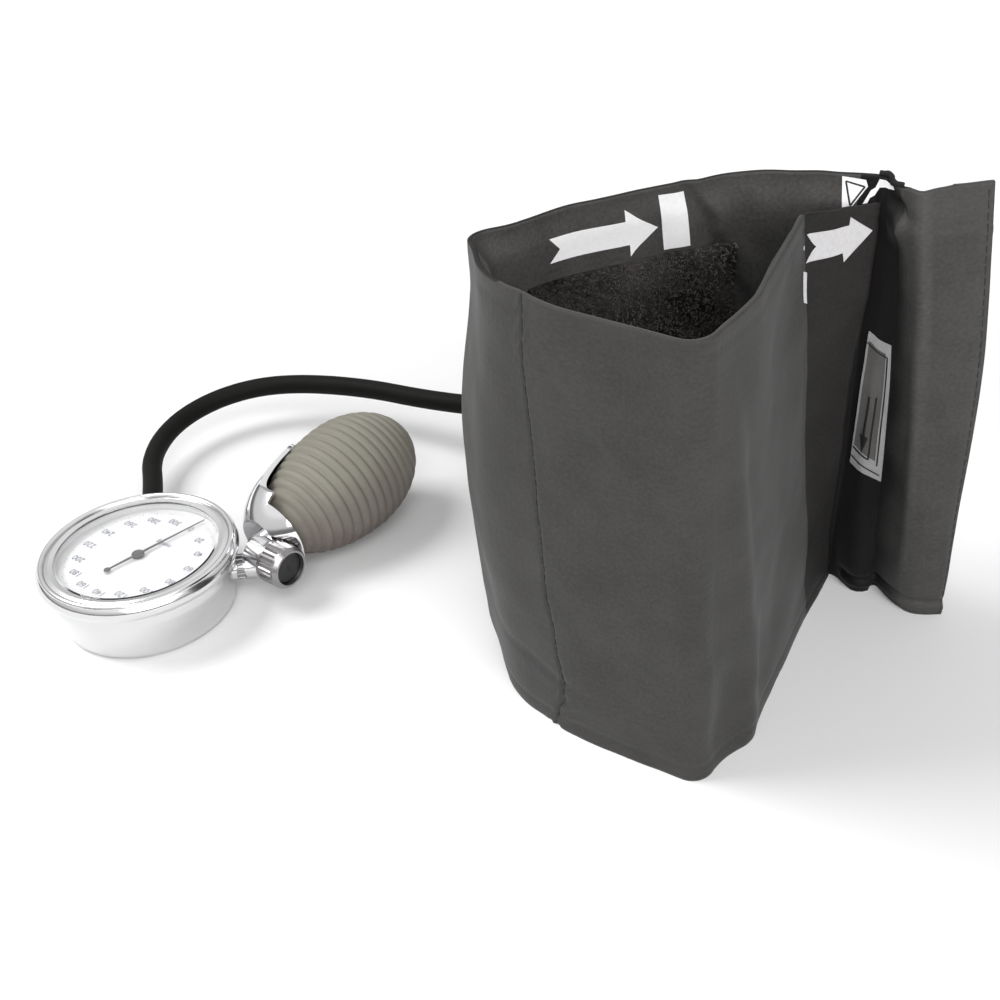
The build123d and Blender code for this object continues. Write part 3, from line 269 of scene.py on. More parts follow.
@dataclass(frozen=True)
class Rubber:
    """Moulded rubber: a soft sheen, a cloudy tone, a fine grit and at times painted shade, a darker colour
    towards the bottom.
    """

    name: str
    colour: Colour
    roughness: float = 0.5
    cloud: float = 0.12
    grit: float = 0.00006
    gloss: float = 0.4
    # Painted shade: a darker colour towards the bottom, coming in between two heights at a share
    under: Colour | None = None
    under_from: float = 0.004
    under_to: float = 0.040
    under_share: float = 0.6

    def make(self) -> Material:
        """Builds the material."""
        shader = Shader(self.name)
        vector = shader.place()
        tone = shader.noise(vector, scale=70, detail=5, rough=0.6)
        # Painted shade: the tone darkens towards the bottom of the piece
        if self.under:
            rise = shader.span(shader.rise(vector), source=(self.under_from, self.under_to))
            rise = shader.math("MULTIPLY", rise, self.under_share)
            tone = shader.math("ADD", shader.math("MULTIPLY", tone, 1 - self.under_share), rise)
        dark = self.under or toned(self.colour, 1 - self.cloud)
        shader.feed({"Base Color": shader.tone(tone, 0.3, dark, toned(self.colour, 1 + self.cloud)),
                     "Roughness": shader.rough(shader.noise(vector, scale=300), self.roughness, 0.15),
                     "Specular IOR Level": self.gloss})
        shader.relief(shader.noise(vector, scale=2600, detail=2), self.grit, strength=0.5)
        return shader.material


@dataclass(frozen=True)
class Cloth:
    """Woven nylon read along the sheet: fine threads, a soft sheen and faint rubbed patches."""

    name: str
    colour: Colour
    threads_per_metre: float = 2600.0
    wear: float = 0.19
    sheen: float = 0.07
    gloss: float = 0.17
    # Colour of painted shade, mixed in by the mesh's point attribute; a share below 0 paints a highlight
    reverse: Colour | None = None

    def dye(self, shader: Shader, wear_and_ridge_highlight: Socket, colour: Colour) -> Socket:
        """A dye that is paler where the cloth's wear pattern is high."""
        return shader.tone(wear_and_ridge_highlight, 0.38, toned(colour, 1 - self.wear), toned(colour, 1 + self.wear))

    def make(self) -> Material:
        """Builds the material, with a painted shade dye where the mesh's attribute says so."""
        shader = Shader(self.name)
        along = shader.place(source="UV")
        bands = self.threads_per_metre / 20
        warp, weft = shader.wave(along, bands, "X"), shader.wave(along, bands * 0.9, "Y")
        patches = shader.noise(along, scale=55, detail=6, rough=0.62)
        speckle = shader.noise(along, scale=950, detail=3, rough=0.65)
        wear_and_ridge_highlight = shader.math("MULTIPLY", shader.math("ADD", patches, speckle), 0.5)
        tone = self.dye(shader, wear_and_ridge_highlight, self.colour)
        # Painted shade from the mesh's attribute, and a painted highlight where its share falls below 0
        if self.reverse:
            share = shader.add("ShaderNodeAttribute", attribute_name="reverse")["Fac"]
            dyes = {0: share, 6: tone, 7: self.dye(shader, wear_and_ridge_highlight, self.reverse)}
            tone = shader.add("ShaderNodeMix", dyes, data_type="RGBA", clamp_factor=False)[2]
        shader.feed({"Base Color": tone, "Roughness": shader.rough(patches, 0.55, 0.17),
                     "Specular IOR Level": self.gloss, "Sheen Weight": self.sheen, "Sheen Roughness": 0.45})
        shader.relief(shader.math("MULTIPLY", warp, weft), depth=0.00004, strength=0.6)
        shader.relief(shader.noise(along, scale=170, detail=5), depth=0.0005, strength=0.35)
        return shader.material


@dataclass(frozen=True)
class Ink:
    """Printed or painted areas with slightly uneven cover."""

    name: str
    colour: Colour
    roughness: float = 0.5
    uneven: float = 0.04

    def make(self) -> Material:
        """Builds the material."""
        shader = Shader(self.name)
        cover = shader.noise(shader.place(), scale=900, rough=0.6)
        dark = toned(self.colour, 1 - self.uneven)
        shader.feed({"Base Color": shader.tone(cover, 0.35, dark, self.colour),
                     "Roughness": shader.rough(cover, self.roughness, 0.08)})
        shader.relief(cover, depth=0.00002, strength=0.3)
        return shader.material


@dataclass(frozen=True)
class Pane:
    """Clear lens that lets the lamps light what is behind it."""

    name: str

    def make(self) -> Material:
        """Builds the material."""
        shader = Shader(self.name)
        shader.feed({"Base Color": WHITE, "Transmission Weight": 1.0, "IOR": 1.45, "Roughness": 0.0})
        shadow = shader.add("ShaderNodeLightPath")["Is Shadow Ray"]
        clear = shader.add("ShaderNodeBsdfTransparent")["BSDF"]
        mixed = {0: shadow, 1: shader.surface.outputs[0], 2: clear}
        shader.show(shader.add("ShaderNodeMixShader", mixed)[0])
        return shader.material


class Finish(Enum):
    """Every finish on the instrument."""

    CHROME = Metal("chrome", (0.78, 0.78, 0.79), 0.05, 0.05)
    GAUGE_CHROME = Metal("gauge_chrome", (0.71, 0.71, 0.715), 0.13, 0.08)
    SATIN_CHROME = Metal("satin_chrome", (0.74, 0.74, 0.75), 0.16, 0.08)
    BRASS = Metal("brass", (0.70, 0.53, 0.26), 0.2, 0.12, 0.00004)
    STEEL = Metal("steel", (0.55, 0.55, 0.57), 0.2, 0.1, 0.00004)
    BRONZE = Metal("spring_bronze", (0.72, 0.58, 0.38), 0.25, 0.1)
    KNURL = Metal("knurled_chrome", (0.29, 0.28, 0.285), 0.17, 0.12, 0.00006)
    # The bulb takes painted shade, darker towards the table
    BULB = Rubber("bulb_rubber", (0.200, 0.190, 0.157), 0.55, 0.06, under=(0.118, 0.099, 0.090))
    HOSE = Rubber("hose_rubber", (0.005, 0.005, 0.0045), 0.54, 0.15, gloss=0.10)
    BLACK = Rubber("black_rubber", (0.010, 0.010, 0.010), 0.38, 0.2)
    PORT = Rubber("port_plastic", (0.014, 0.014, 0.014), 0.22, 0.1, 0.00002)
    LATEX = Rubber("bladder_latex", (0.20, 0.17, 0.14), 0.5)
    CUFF = Cloth("cuff_nylon", (0.043, 0.0417, 0.0405))
    # The tail's inner face: painted shade in the fold valley and a painted highlight on the ridge
    TAIL = Cloth("tail_nylon_painted_shade", (0.056, 0.0545, 0.053), reverse=(0.0042, 0.0035, 0.0034))
    LINING = Cloth("cuff_lining_nylon", (0.056, 0.0538, 0.0523), wear=0.27, sheen=0.05)
    # The lining cloth, darker than inside as painted shade, for the near end, the back and fold rims and
    # the rolled hem
    REVERSE = Cloth("cuff_lining_painted_shade", (0.020, 0.0189, 0.0183), wear=0.22, sheen=0.0, gloss=0.12)
    PILE = Rubber("pile_fibre", (0.095, 0.088, 0.085), 0.75, 0.6, gloss=0.2)
    PILE_BASE = Cloth("pile_backing", (0.030, 0.0275, 0.026), 1800.0, 0.9, 0.0, 0.1)
    HOOK = Rubber("hook_nylon", (0.016, 0.016, 0.016), 0.4, 0.2)
    HOOK_BASE = Cloth("hook_backing", (0.014, 0.014, 0.014), 1800.0, 0.2, 0.05)
    THREAD = Rubber("sewing_thread", (0.010, 0.010, 0.010), 0.6, 0.1)
    TAIL_THREAD = Rubber("tail_thread", (0.030, 0.029, 0.028), 0.6, 0.1)
    LABEL = Cloth("label_border", (0.31, 0.31, 0.31), 3000.0, 0.12, 0.1)
    LABEL_PANEL = Cloth("label_panel", (0.100, 0.096, 0.094), 3000.0, 0.18, 0.1)
    LABEL_INK = Ink("label_ink", (0.010, 0.010, 0.010))
    CUFF_INK = Ink("cuff_print", (0.92, 0.91, 0.92), 0.55, 0.05)
    # The white print ink darkened as painted shade for the near end's outer face, with patchier cover
    END_INK = Ink("end_print_painted_shade", (0.57, 0.56, 0.57), 0.55, 0.10)
    DIAL = Ink("dial_paint", (0.45, 0.45, 0.455), 0.35, 0.015)
    DIAL_INK = Ink("dial_ink", (0.10, 0.11, 0.135), 0.45)
    HAND = Ink("pointer_paint", (0.02, 0.02, 0.022), 0.4)
    SPACER = Ink("spacer_plastic", (0.40, 0.40, 0.405), 0.35, 0.02)
    LENS = Pane("lens_glass")


class Paintbox:
    """Makes each finish's material once."""

    def __init__(self) -> None:
        """Starts with nothing made."""
        self.made: dict[Finish, Material] = {}

    def get(self, finish: Finish) -> Material:
        """Gives the material of a finish."""
        if finish not in self.made:
            self.made[finish] = finish.value.make()
        return self.made[finish]

    def coat(self, thing: Object, *finishes: Finish) -> Object:
        """Puts finishes on an object's slots, in place of what they hold, and gives the object."""
        slots = thing.data.materials
        for index, finish in enumerate(finishes):
            if index < len(slots):
                slots[index] = self.get(finish)
            else:
                slots.append(self.get(finish))
        return thing

    def dress(self, nodes: dict[str, Object], finishes: dict[Finish, tuple[str, ...]]) -> None:
        """Puts each finish on the solids that it names."""
        for finish, names in finishes.items():
            for name in names:
                self.coat(nodes[name], finish)


def new_object(name: str, data: bpy.types.ID) -> Object:
    """Puts a mesh, curve, text, lamp or camera into the scene at the origin."""
    thing = bpy.data.objects.new(name, data)
    bpy.context.scene.collection.objects.link(thing)
    return thing


def mesh_from(book: bmesh.types.BMesh, name: str) -> Mesh:
    """Keeps what was built as a mesh, and frees the builder."""
    mesh = bpy.data.meshes.new(name)
    book.to_mesh(mesh)
    book.free()
    return mesh


def plain_mesh(thing: Object, name: str) -> Mesh:
    """Turns a curve, a text or an object with modifiers into a mesh, and removes the object."""
    bpy.context.view_layer.update()
    mesh = bpy.data.meshes.new_from_object(thing.evaluated_get(bpy.context.evaluated_depsgraph_get()))
    mesh.name = name
    bpy.data.objects.remove(thing)
    return mesh


def shade_smooth(mesh: Mesh, angle: float = 40.0) -> None:
    """Smooths a mesh's shading, but keeps edges sharper than an angle.

    Args:
        mesh: The mesh to shade.
        angle: Sharpest edge that is smoothed, in degrees.
    """
    mesh.shade_smooth()
    book = bmesh.new()
    book.from_mesh(mesh)
    for edge in book.edges:
        if len(edge.link_faces) == 2 and edge.calc_face_angle(0.0) > math.radians(angle):
            edge.smooth = False
    book.to_mesh(mesh)
    book.free()


def turned(name: str, profile: Sequence[Pair], place: Matrix, steps: int) -> Object:
    """Turns a profile that closes on itself into a body of revolution.

    Args:
        name: The object's name.
        profile: Points of radius and station, whose last is its first.
        place: Matrix whose Z column is the axis.
        steps: Faces round the axis.

    Returns:
        The object.
    """
    book = bmesh.new()
    turns = [2 * math.pi * step / steps for step in range(steps)]
    rings = [[book.verts.new(place @ Vector((radius * math.cos(turn), radius * math.sin(turn), station)))
              for turn in turns] for radius, station in profile]
    for low, high in zip(rings, rings[1:]):
        for step in range(steps):
            after = (step + 1) % steps
            book.faces.new((low[step], low[after], high[after], high[step]))
    bmesh.ops.remove_doubles(book, verts=book.verts, dist=1e-7)
    bmesh.ops.recalc_face_normals(book, faces=book.faces)
    mesh = mesh_from(book, name)
    mesh.shade_smooth()
    return new_object(name, mesh)


def cord_through(name: str, points: Sequence[Sequence[float]], radius: float, kind: str,
                 bevel: int) -> Object:
    """Makes a round curve with closed ends.

    Args:
        name: The object's name.
        points: Places along it, or its control points.
        radius: Its radius.
        kind: POLY for straight runs between the points, or NURBS for one smooth curve.
        bevel: Steps in a quarter of its section.

    Returns:
        The curve object.
    """
    data = bpy.data.curves.new(name, "CURVE")
    data.dimensions = "3D"
    data.bevel_depth = radius
    data.bevel_resolution = bevel
    data.use_fill_caps = True
    spline = data.splines.new(kind)
    spline.points.add(len(points) - 1)
    for slot, point in zip(spline.points, points):
        slot.co = (*point, 1.0)
    return new_object(name, data)


class Tree(Nodes):
    """Writes one Geometry Nodes tree that lays instances, with named inputs."""

    def __init__(self, name: str, **inputs: str) -> None:
        """Starts a tree from its inputs and the kind of each."""
        super().__init__(bpy.data.node_groups.new(name, "GeometryNodeTree"))
        for way in ("INPUT", "OUTPUT"):
            self.tree.interface.new_socket("Geometry", in_out=way, socket_type="NodeSocketGeometry")
        for label, kind in inputs.items():
            self.tree.interface.new_socket(label, in_out="INPUT", socket_type=f"NodeSocket{kind}")
        self.source = self.add("NodeGroupInput")

    def put(self, kind: str, inputs: Inputs | None = None, **settings: object) -> Outputs:
        """Adds a geometry node, named without its prefix, and gives its outputs."""
        return self.add(f"GeometryNode{kind}", inputs, **settings)

    def vector(self, **parts: Socket) -> Socket:
        """Joins up to three sockets into a vector."""
        return self.add("ShaderNodeCombineXYZ", parts)[0]

    def lay(self, inputs: Inputs, material: Socket) -> None:
        """Ends the tree: an instance on each point, made real and given its material."""
        real = self.put("RealizeInstances", {"Geometry": self.put("InstanceOnPoints", inputs)[0]})[0]
        dressed = self.put("SetMaterial", {"Geometry": real, "Material": material})[0]
        self.add("NodeGroupOutput", {0: dressed})

    def grow(self, name: str, base: Object, values: dict[str, object]) -> Object:
        """Runs the tree on an object, which it uses up, and keeps the plain mesh that results.

        Args:
            name: Name of the new object.
            base: Object whose geometry the tree reads.
            values: Input values by name.

        Returns:
            The new object.
        """
        modifier = base.modifiers.new("grow", "NODES")
        modifier.node_group = self.tree
        for item in self.tree.interface.items_tree:
            if item.item_type == "SOCKET" and item.in_out == "INPUT" and item.name in values:
                modifier[item.identifier] = values[item.name]
        return new_object(name, plain_mesh(base, name))


def radial_marks_tree() -> Tree:
    """Marks laid round a circle at even steps, as on a scale."""
    tree = Tree("RadialMarks", Count="Int", Start="Float", Step="Float", Radius="Float", Length="Float",
                Width="Float", Centre="Vector", Ink="Material")
    source = tree.source
    turn = tree.math("MULTIPLY_ADD", tree.put("InputIndex")[0], source["Step"], source["Start"])
    away = tree.vector(X=tree.math("COSINE", turn), Y=tree.math("SINE", turn))
    radius = {0: away, "Scale": source["Radius"]}
    reach = tree.add("ShaderNodeVectorMath", radius, operation="SCALE")[0]
    spot = tree.add("ShaderNodeVectorMath", {0: reach, 1: source["Centre"]}, operation="ADD")[0]
    line = tree.put("MeshLine", {"Count": source["Count"]})[0]
    moved = tree.put("SetPosition", {"Geometry": line, "Position": spot})[0]
    mark = tree.put("MeshGrid", {"Size X": source["Length"], "Size Y": source["Width"],
                                 "Vertices X": 2, "Vertices Y": 2})[0]
    tree.lay({"Points": moved, "Instance": mark, "Rotation": tree.vector(Z=turn)}, source["Ink"])
    return tree


def stitch_tree() -> Tree:
    """Stitches along a line of edges: short rounded threads with a gap after each."""
    tree = Tree("StitchRow", Pitch="Float", Length="Float", Thickness="Float", Thread="Material")
    source = tree.source
    path = tree.put("MeshToCurve", {"Mesh": source[0]})[0]
    points = tree.put("CurveToPoints", {"Curve": path, "Length": source["Pitch"]}, mode="LENGTH")
    half = tree.math("MULTIPLY", source["Length"], 0.5)
    ends = {"Start": tree.vector(Z=tree.math("MULTIPLY", half, -1.0)), "End": tree.vector(Z=half)}
    bar = tree.put("CurvePrimitiveLine", ends)[0]
    ring = tree.put("CurvePrimitiveCircle", {"Resolution": 6, "Radius": source["Thickness"]})[0]
    thread = tree.put("CurveToMesh", {"Curve": bar, "Profile Curve": ring, "Fill Caps": True})[0]
    laid = {"Points": points["Points"], "Instance": thread, "Rotation": points["Rotation"]}
    tree.lay(laid, source["Thread"])
    return tree


def tuft_tree() -> Tree:
    """Curled fibres scattered over a backing, each turned and sized at random."""
    tree = Tree("PileTufts", Density="Float", Seed="Int", Size="Float", Fibre="Material")
    source = tree.source
    seed = {"Seed": source["Seed"]}
    points = tree.put("DistributePointsOnFaces", {"Mesh": source[0], "Density": source["Density"], **seed})
    ring = tree.put("CurvePrimitiveCircle", {"Resolution": 4, "Radius": source["Size"]})[0]
    curl = tree.put("TrimCurve", {"Curve": ring, 2: 0.0, 3: 0.72})[0]
    thick = tree.math("MULTIPLY", source["Size"], 0.28)
    section = tree.put("CurvePrimitiveCircle", {"Resolution": 3, "Radius": thick})[0]
    loop = tree.put("CurveToMesh", {"Curve": curl, "Profile Curve": section, "Fill Caps": True})[0]
    turns = {0: (-3.14, -3.14, -3.14), 1: (3.14, 3.14, 3.14), **seed}
    spin = tree.add("FunctionNodeRandomValue", turns, data_type="FLOAT_VECTOR")[0]
    size = tree.add("FunctionNodeRandomValue", {2: 0.7, 3: 1.25, **seed}, data_type="FLOAT")[1]
    laid = {"Points": points["Points"], "Instance": loop, "Rotation": spin, "Scale": size}
    tree.lay(laid, source["Fibre"])
    return tree


GAUGE_FINISHES = {
    Finish.GAUGE_CHROME: ("bezel", "case_body"),
    Finish.SATIN_CHROME: ("hose_nipple",),
    Finish.BRASS: ("movement_base_plate", "movement_top_plate", "movement_pillars", "sector_gear",
                   "capsule_foot", "hairspring_stud"),
    Finish.STEEL: ("movement_screws", "pinion_arbor", "rocker", "capsule_post", "hairspring"),
    Finish.BRONZE: ("aneroid_capsule",),
    Finish.DIAL: ("dial",),
    Finish.SPACER: ("spacer_ring",),
    Finish.HAND: ("pointer",),
    Finish.LENS: ("lens",),
    Finish.BLACK: ("lens_gasket",),
}
HANDSET_FINISHES = {
    Finish.CHROME: ("spoon", "neck_tube", "spoon_nut"),
    Finish.KNURL: ("release_knob", "union_nut"),
    Finish.SATIN_CHROME: ("valve_body", "inlet_valve_housing"),
    Finish.STEEL: ("valve_needle", "knob_screw"),
    Finish.BRASS: ("valve_seat", "outlet_valve_retainer", "inlet_valve_retainer"),
    Finish.BLACK: ("valve_seal", "knob_insert", "outlet_valve_disc", "inlet_valve_disc"),
}


@dataclass
class Gauge:
    """The aneroid gauge: chrome case and bezel, printed dial, pointer, lens and movement."""

    paints: Paintbox
    centre: Vector = field(default_factory=lambda: Vector((-0.111, 0.025, 0.0)))
    six_oclock: float = 50.0
    sweep: float = 337.5
    full_scale: int = 300
    number_step: int = 20
    dial_top: float = 0.020
    tick_radius: float = 0.0252
    tick_length: float = 0.0012
    number_radius: float = 0.0205
    number_size: float = 0.0034
    reading_way: float = 140.0
    unit_place: Pair = (0.0075, 0.0058)
    unit_size: float = 0.0026
    bolder: float = 0.00006
    print_gap: float = 0.00003

    def azimuth(self, reading: float) -> float:
        """Direction of a reading on the dial, in degrees from +X."""
        start = self.six_oclock - (360 - self.sweep) / 2
        return start - self.sweep * reading / self.full_scale

    def ring_of_marks(self, tree: Tree, name: str, step: float, length: float, width: float) -> Object:
        """Lays one set of scale marks.

        Args:
            tree: The tree that lays marks round a circle.
            name: The piece's name.
            step: Pressure between marks.
            length: Length of each mark.
            width: Width of each mark.

        Returns:
            The piece.
        """
        values = {
            "Count": int(self.full_scale / step) + 1, "Start": math.radians(self.azimuth(0)),
            "Step": -math.radians(self.sweep * step / self.full_scale),
            "Radius": self.tick_radius - length / 2, "Length": length, "Width": width,
            "Centre": (*self.centre.xy, self.dial_top + self.print_gap),
            "Ink": self.paints.get(Finish.DIAL_INK),
        }
        base = new_object(f"{name}_base", bpy.data.meshes.new(f"{name}_base"))
        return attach(tree.grow(name, base, values), "instrument")

    def lettering(self, words: str, size: float, spot: Vector) -> Mesh:
        """Makes a few characters as a flat mesh on the dial, all reading the same way.

        Args:
            words: The characters.
            size: Their height.
            spot: Their middle.

        Returns:
            The mesh, in its place.
        """
        data = bpy.data.curves.new("dial_lettering", "FONT")
        data.body = words
        data.size = size
        data.align_x = data.align_y = "CENTER"
        data.resolution_u = 3
        data.offset = self.bolder
        mesh = plain_mesh(new_object("dial_lettering", data), "dial_lettering")
        turn = Matrix.Rotation(math.radians(self.reading_way), 4, "Z")
        mesh.transform(Matrix.Translation((spot.x, spot.y, self.dial_top + self.print_gap)) @ turn)
        return mesh

    def numbers(self) -> Object:
        """Joins the dial's numbers and its unit into one piece."""
        book = bmesh.new()
        for reading in range(0, self.full_scale + 1, self.number_step):
            spot = self.centre + heading(self.azimuth(reading)) * self.number_radius
            book.from_mesh(self.lettering(str(reading), self.number_size, spot))
        unit = self.centre + Vector((*self.unit_place, 0.0))
        book.from_mesh(self.lettering("mmHg", self.unit_size, unit))
        piece = new_object("dial_numbers", mesh_from(book, "dial_numbers"))
        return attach(self.paints.coat(piece, Finish.DIAL_INK), "instrument")

    def build(self, nodes: dict[str, Object]) -> list[Object]:
        """Dresses the solids and prints the dial."""
        self.paints.dress(nodes, GAUGE_FINISHES)
        tree = radial_marks_tree()
        return [self.ring_of_marks(tree, "dial_fine_marks", 2, self.tick_length * 0.6, 0.00009),
                self.ring_of_marks(tree, "dial_main_marks", 10, self.tick_length, 0.00016),
                self.numbers()]


@dataclass
class Handset:
    """Valve, knob, spoon and bulb: metal solids, and the bulb as a smooth ribbed form.

    The bulb's stations are metres along its axis from the valve.
    """

    paints: Paintbox
    valve: Vector = field(default_factory=lambda: Vector((-0.072095, 0.0277205, 0.0166)))
    azimuth: float = 47.5
    tilt: float = 6.0
    radius: float = 0.0205
    near: float = 0.008
    fullest: float = 0.044
    far: float = 0.0725
    skin_from: float = 0.0100
    skin_to: float = 0.0706
    skin_steps: int = 300
    ribs: int = 15
    ribs_from: float = 0.014
    ribs_to: float = 0.0675
    rib_depth: float = 0.0008
    mouth_radius: float = 0.0054
    bore: float = 0.0037
    wall: float = 0.0023
    hollow: tuple[float, ...] = (0.068, 0.060, 0.050, 0.040, 0.030, 0.020, 0.014)
    sides: int = 128

    def smooth_radius(self, station: float) -> float:
        """Radius of the bulb without its ribs."""
        half = self.fullest - self.near if station < self.fullest else self.far - self.fullest
        return self.radius * math.sqrt(max(0.0, 1 - ((station - self.fullest) / half) ** 2))

    def ribbed_radius(self, station: float) -> float:
        """Radius with the ribs: broad rounded bands and a narrow groove between them."""
        pitch = (self.ribs_to - self.ribs_from) / self.ribs
        share = (station - self.ribs_from) / pitch
        fade = smooth(-0.6, 0.5, share) * smooth(-0.6, 0.5, self.ribs - share)
        groove = abs(math.cos(math.pi * share)) ** 4
        return self.smooth_radius(station) - self.rib_depth * fade * groove

    def bulb(self) -> Object:
        """Turns the bulb about the handset's axis."""
        along = heading(self.azimuth, self.tilt)
        place = Matrix.Translation(self.valve) @ along.to_track_quat("Z", "Y").to_matrix().to_4x4()
        mouth, end = self.near + 0.0006, self.far - 0.0007
        run = (self.skin_to - self.skin_from) / self.skin_steps
        skin = [self.skin_from + run * step for step in range(self.skin_steps + 1)]
        inside = [(max(self.bore, self.smooth_radius(station) - self.wall), station)
                  for station in self.hollow]
        profile = [(self.bore, mouth), (self.mouth_radius, mouth),
                   (self.mouth_radius + 0.0008, mouth + 0.0003),
                   *((self.ribbed_radius(station), station) for station in skin),
                   (self.mouth_radius + 0.0006, end - 0.0003), (self.mouth_radius, end), (self.bore, end),
                   *inside, (self.bore, mouth)]
        piece = self.paints.coat(turned("bulb_skin", profile, place, self.sides), Finish.BULB)
        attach(piece, "instrument")
        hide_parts("bulb")
        return piece

    def build(self, nodes: dict[str, Object]) -> list[Object]:
        """Dresses the solids and makes the bulb."""
        self.paints.dress(nodes, HANDSET_FINISHES)
        return [self.bulb()]


@dataclass
class Hose:
    """The rubber hose from the gauge to the cuff's port, by control points in millimetres."""

    paints: Paintbox
    diameter: float = 0.0074
    length: float = 0.311
    route_mm: tuple[tuple[float, float, float], ...] = (
        (-114.182, 58.047, 11.0), (-116.387, 80.941, 11.0), (-120.5, 102.7, 12.5),
        (-113.6, 123.3, 14.5), (-96.5, 137.0, 16.5), (-73.2, 140.4, 18.0), (-40.4, 128.0, 19.5),
        (-11.0, 107.6, 21.0), (15.4, 91.7, 24.0), (41.0, 76.0, 29.0), (60.0, 55.0, 33.5),
        (66.03, 33.88, 36.0), (69.07, 15.13, 36.0))

    def build(self) -> list[Object]:
        """Lays the hose on its route as one smooth curve."""
        route = [tuple(value * MM for value in point) for point in self.route_mm]
        tube = cord_through("hose_tube", route, self.diameter / 2, "NURBS", 8)
        piece = self.paints.coat(tube, Finish.HOSE)
        piece.data.resolution_u = 14
        spline = piece.data.splines[0]
        spline.order_u = 3
        spline.use_endpoint_u = True
        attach(piece, "instrument")
        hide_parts("hose")
        return [piece]


@dataclass(frozen=True)
class GuideLine:
    """The cuff's outer face seen from above, at several heights, as rounded corners.

    A whole station is a corner, so 2.5 is half way between the third corner and the fourth.
    """

    heights: tuple[float, ...]
    rows: tuple[Table, ...]
    radii: tuple[float, ...]
    bend_share: float = 0.16
    straight: float = 1e-4

    def corners(self, height: float) -> list[Vector]:
        """Corners at a height in millimetres, on a smooth curve through the rows."""
        index = 0
        while index < len(self.heights) - 2 and height > self.heights[index + 1]:
            index += 1
        low, high = self.heights[index], self.heights[index + 1]
        before, after = max(index - 1, 0), min(index + 2, len(self.rows) - 1)
        span_low = self.heights[index + 1] - self.heights[before]
        span_high = self.heights[after] - self.heights[index]
        t = (height - low) / (high - low)
        points = []
        for a, b, c, d in zip(self.rows[before], self.rows[index], self.rows[index + 1], self.rows[after]):
            start, end = Vector(b), Vector(c)
            leave = (end - Vector(a)) * ((high - low) / span_low)
            arrive = (Vector(d) - start) * ((high - low) / span_high)
            points.append(start * (2 * t**3 - 3 * t**2 + 1) + leave * (t**3 - 2 * t**2 + t)
                          + end * (3 * t**2 - 2 * t**3) + arrive * (t**3 - t**2))
        return points

    def bend(self, points: Sequence[Vector], corner: int) -> tuple[Vector, float]:
        """Direction into a corner, and the angle by which the line turns there."""
        arriving = (points[corner] - points[corner - 1]).normalized()
        return arriving, arriving.angle_signed((points[corner + 1] - points[corner]).normalized())

    def at(self, station: float, height: float) -> tuple[Vector, Vector]:
        """A point of the outer face and the direction of travel there, seen from above.

        Args:
            station: Place along the line, counted in corners.
            height: Height above the table, in millimetres.

        Returns:
            The point and the unit direction, both flat, in millimetres.
        """
        points = self.corners(height)
        nearest = round(station)
        offset = station - nearest
        if 0 < nearest < len(points) - 1 and abs(offset) < self.bend_share:
            arriving, turn = self.bend(points, nearest)
            radius = self.radii[nearest - 1]
            reach = radius * math.tan(abs(turn) / 2)
            start = points[nearest] - arriving * reach
            share = (offset + self.bend_share) / (2 * self.bend_share)
            direction = Vector(arriving)
            direction.rotate(Matrix.Rotation(-turn * share, 2))
            if abs(turn) < self.straight:
                return start + arriving * (2 * reach * share), direction
            side = -1.0 if turn > 0 else 1.0
            centre = start + Vector((-arriving.y, arriving.x)) * side * radius
            return centre - Vector((-direction.y, direction.x)) * side * radius, direction
        index = min(int(station), len(points) - 2)
        start, end = points[index], points[index + 1]
        direction = (end - start).normalized()
        low, high = 0.0, 1.0
        if index > 0:
            turn = abs(self.bend(points, index)[1])
            start = start + direction * self.radii[index - 1] * math.tan(turn / 2)
            low = self.bend_share
        if index < len(points) - 2:
            turn = abs(self.bend(points, index + 1)[1])
            end = end - direction * self.radii[index] * math.tan(turn / 2)
            high = 1 - self.bend_share
        return start.lerp(end, (station - index - low) / (high - low)), direction


CUFF_LINE = GuideLine(
    heights=(0.0, 30.0, 85.0, 140.0),
    rows=(
        ((114.6, 2.9), (101.5, -17.5), (78.0, -60.0), (58.0, -84.0), (26.0, -60.0), (8.9, -39.0),
         (4.0, -5.0), (48.0, 3.0), (88.0, 9.5), (117.3, 6.2), (121.2, -6.0), (127.7, -3.4),
         (135.0, -18.4), (139.5, -19.6), (143.8, -19.9)),
        ((114.4, -1.2), (100.0, -18.8), (77.0, -62.0), (58.0, -84.6), (26.2, -60.6), (7.2, -39.8),
         (0.9, -5.8), (48.4, 2.9), (87.8, 9.3), (118.2, 5.0), (121.9, -2.2), (127.6, -5.2),
         (134.4, -17.2), (139.8, -19.0), (145.2, -19.8)),
        ((115.4, -7.8), (97.3, -21.0), (75.5, -64.5), (58.0, -85.8), (26.6, -61.8), (7.0, -40.6),
         (1.0, -6.9), (49.2, 2.7), (87.4, 8.9), (119.0, -1.0), (123.0, -5.4), (127.6, -8.6),
         (132.2, -15.0), (139.6, -16.4), (148.6, -17.9)),
        ((118.0, -12.2), (95.5, -22.6), (74.0, -67.0), (58.0, -87.0), (27.0, -63.0), (11.0, -41.0),
         (8.0, -8.0), (50.0, 2.5), (87.0, 8.5), (119.9, -6.2), (122.3, -8.8), (124.6, -11.2),
         (127.4, -15.1), (135.8, -15.7), (146.2, -16.4)),
    ),
    radii=(8.0, 40.0, 7.0, 60.0, 34.0, 9.0, 120.0, 30.0, 6.0, 3.0, 3.0, 5.0, 10.0),
)


@dataclass(frozen=True)
class Rumple:
    """Noise in the cloth of some size and depth, in millimetres."""

    size: float
    depth: float
    shift: tuple[float, float, float] = (0, 0, 0)

    def at(self, place: Vector) -> float:
        """Its value at a place."""
        return noise.noise(place / self.size + Vector(self.shift)) * self.depth


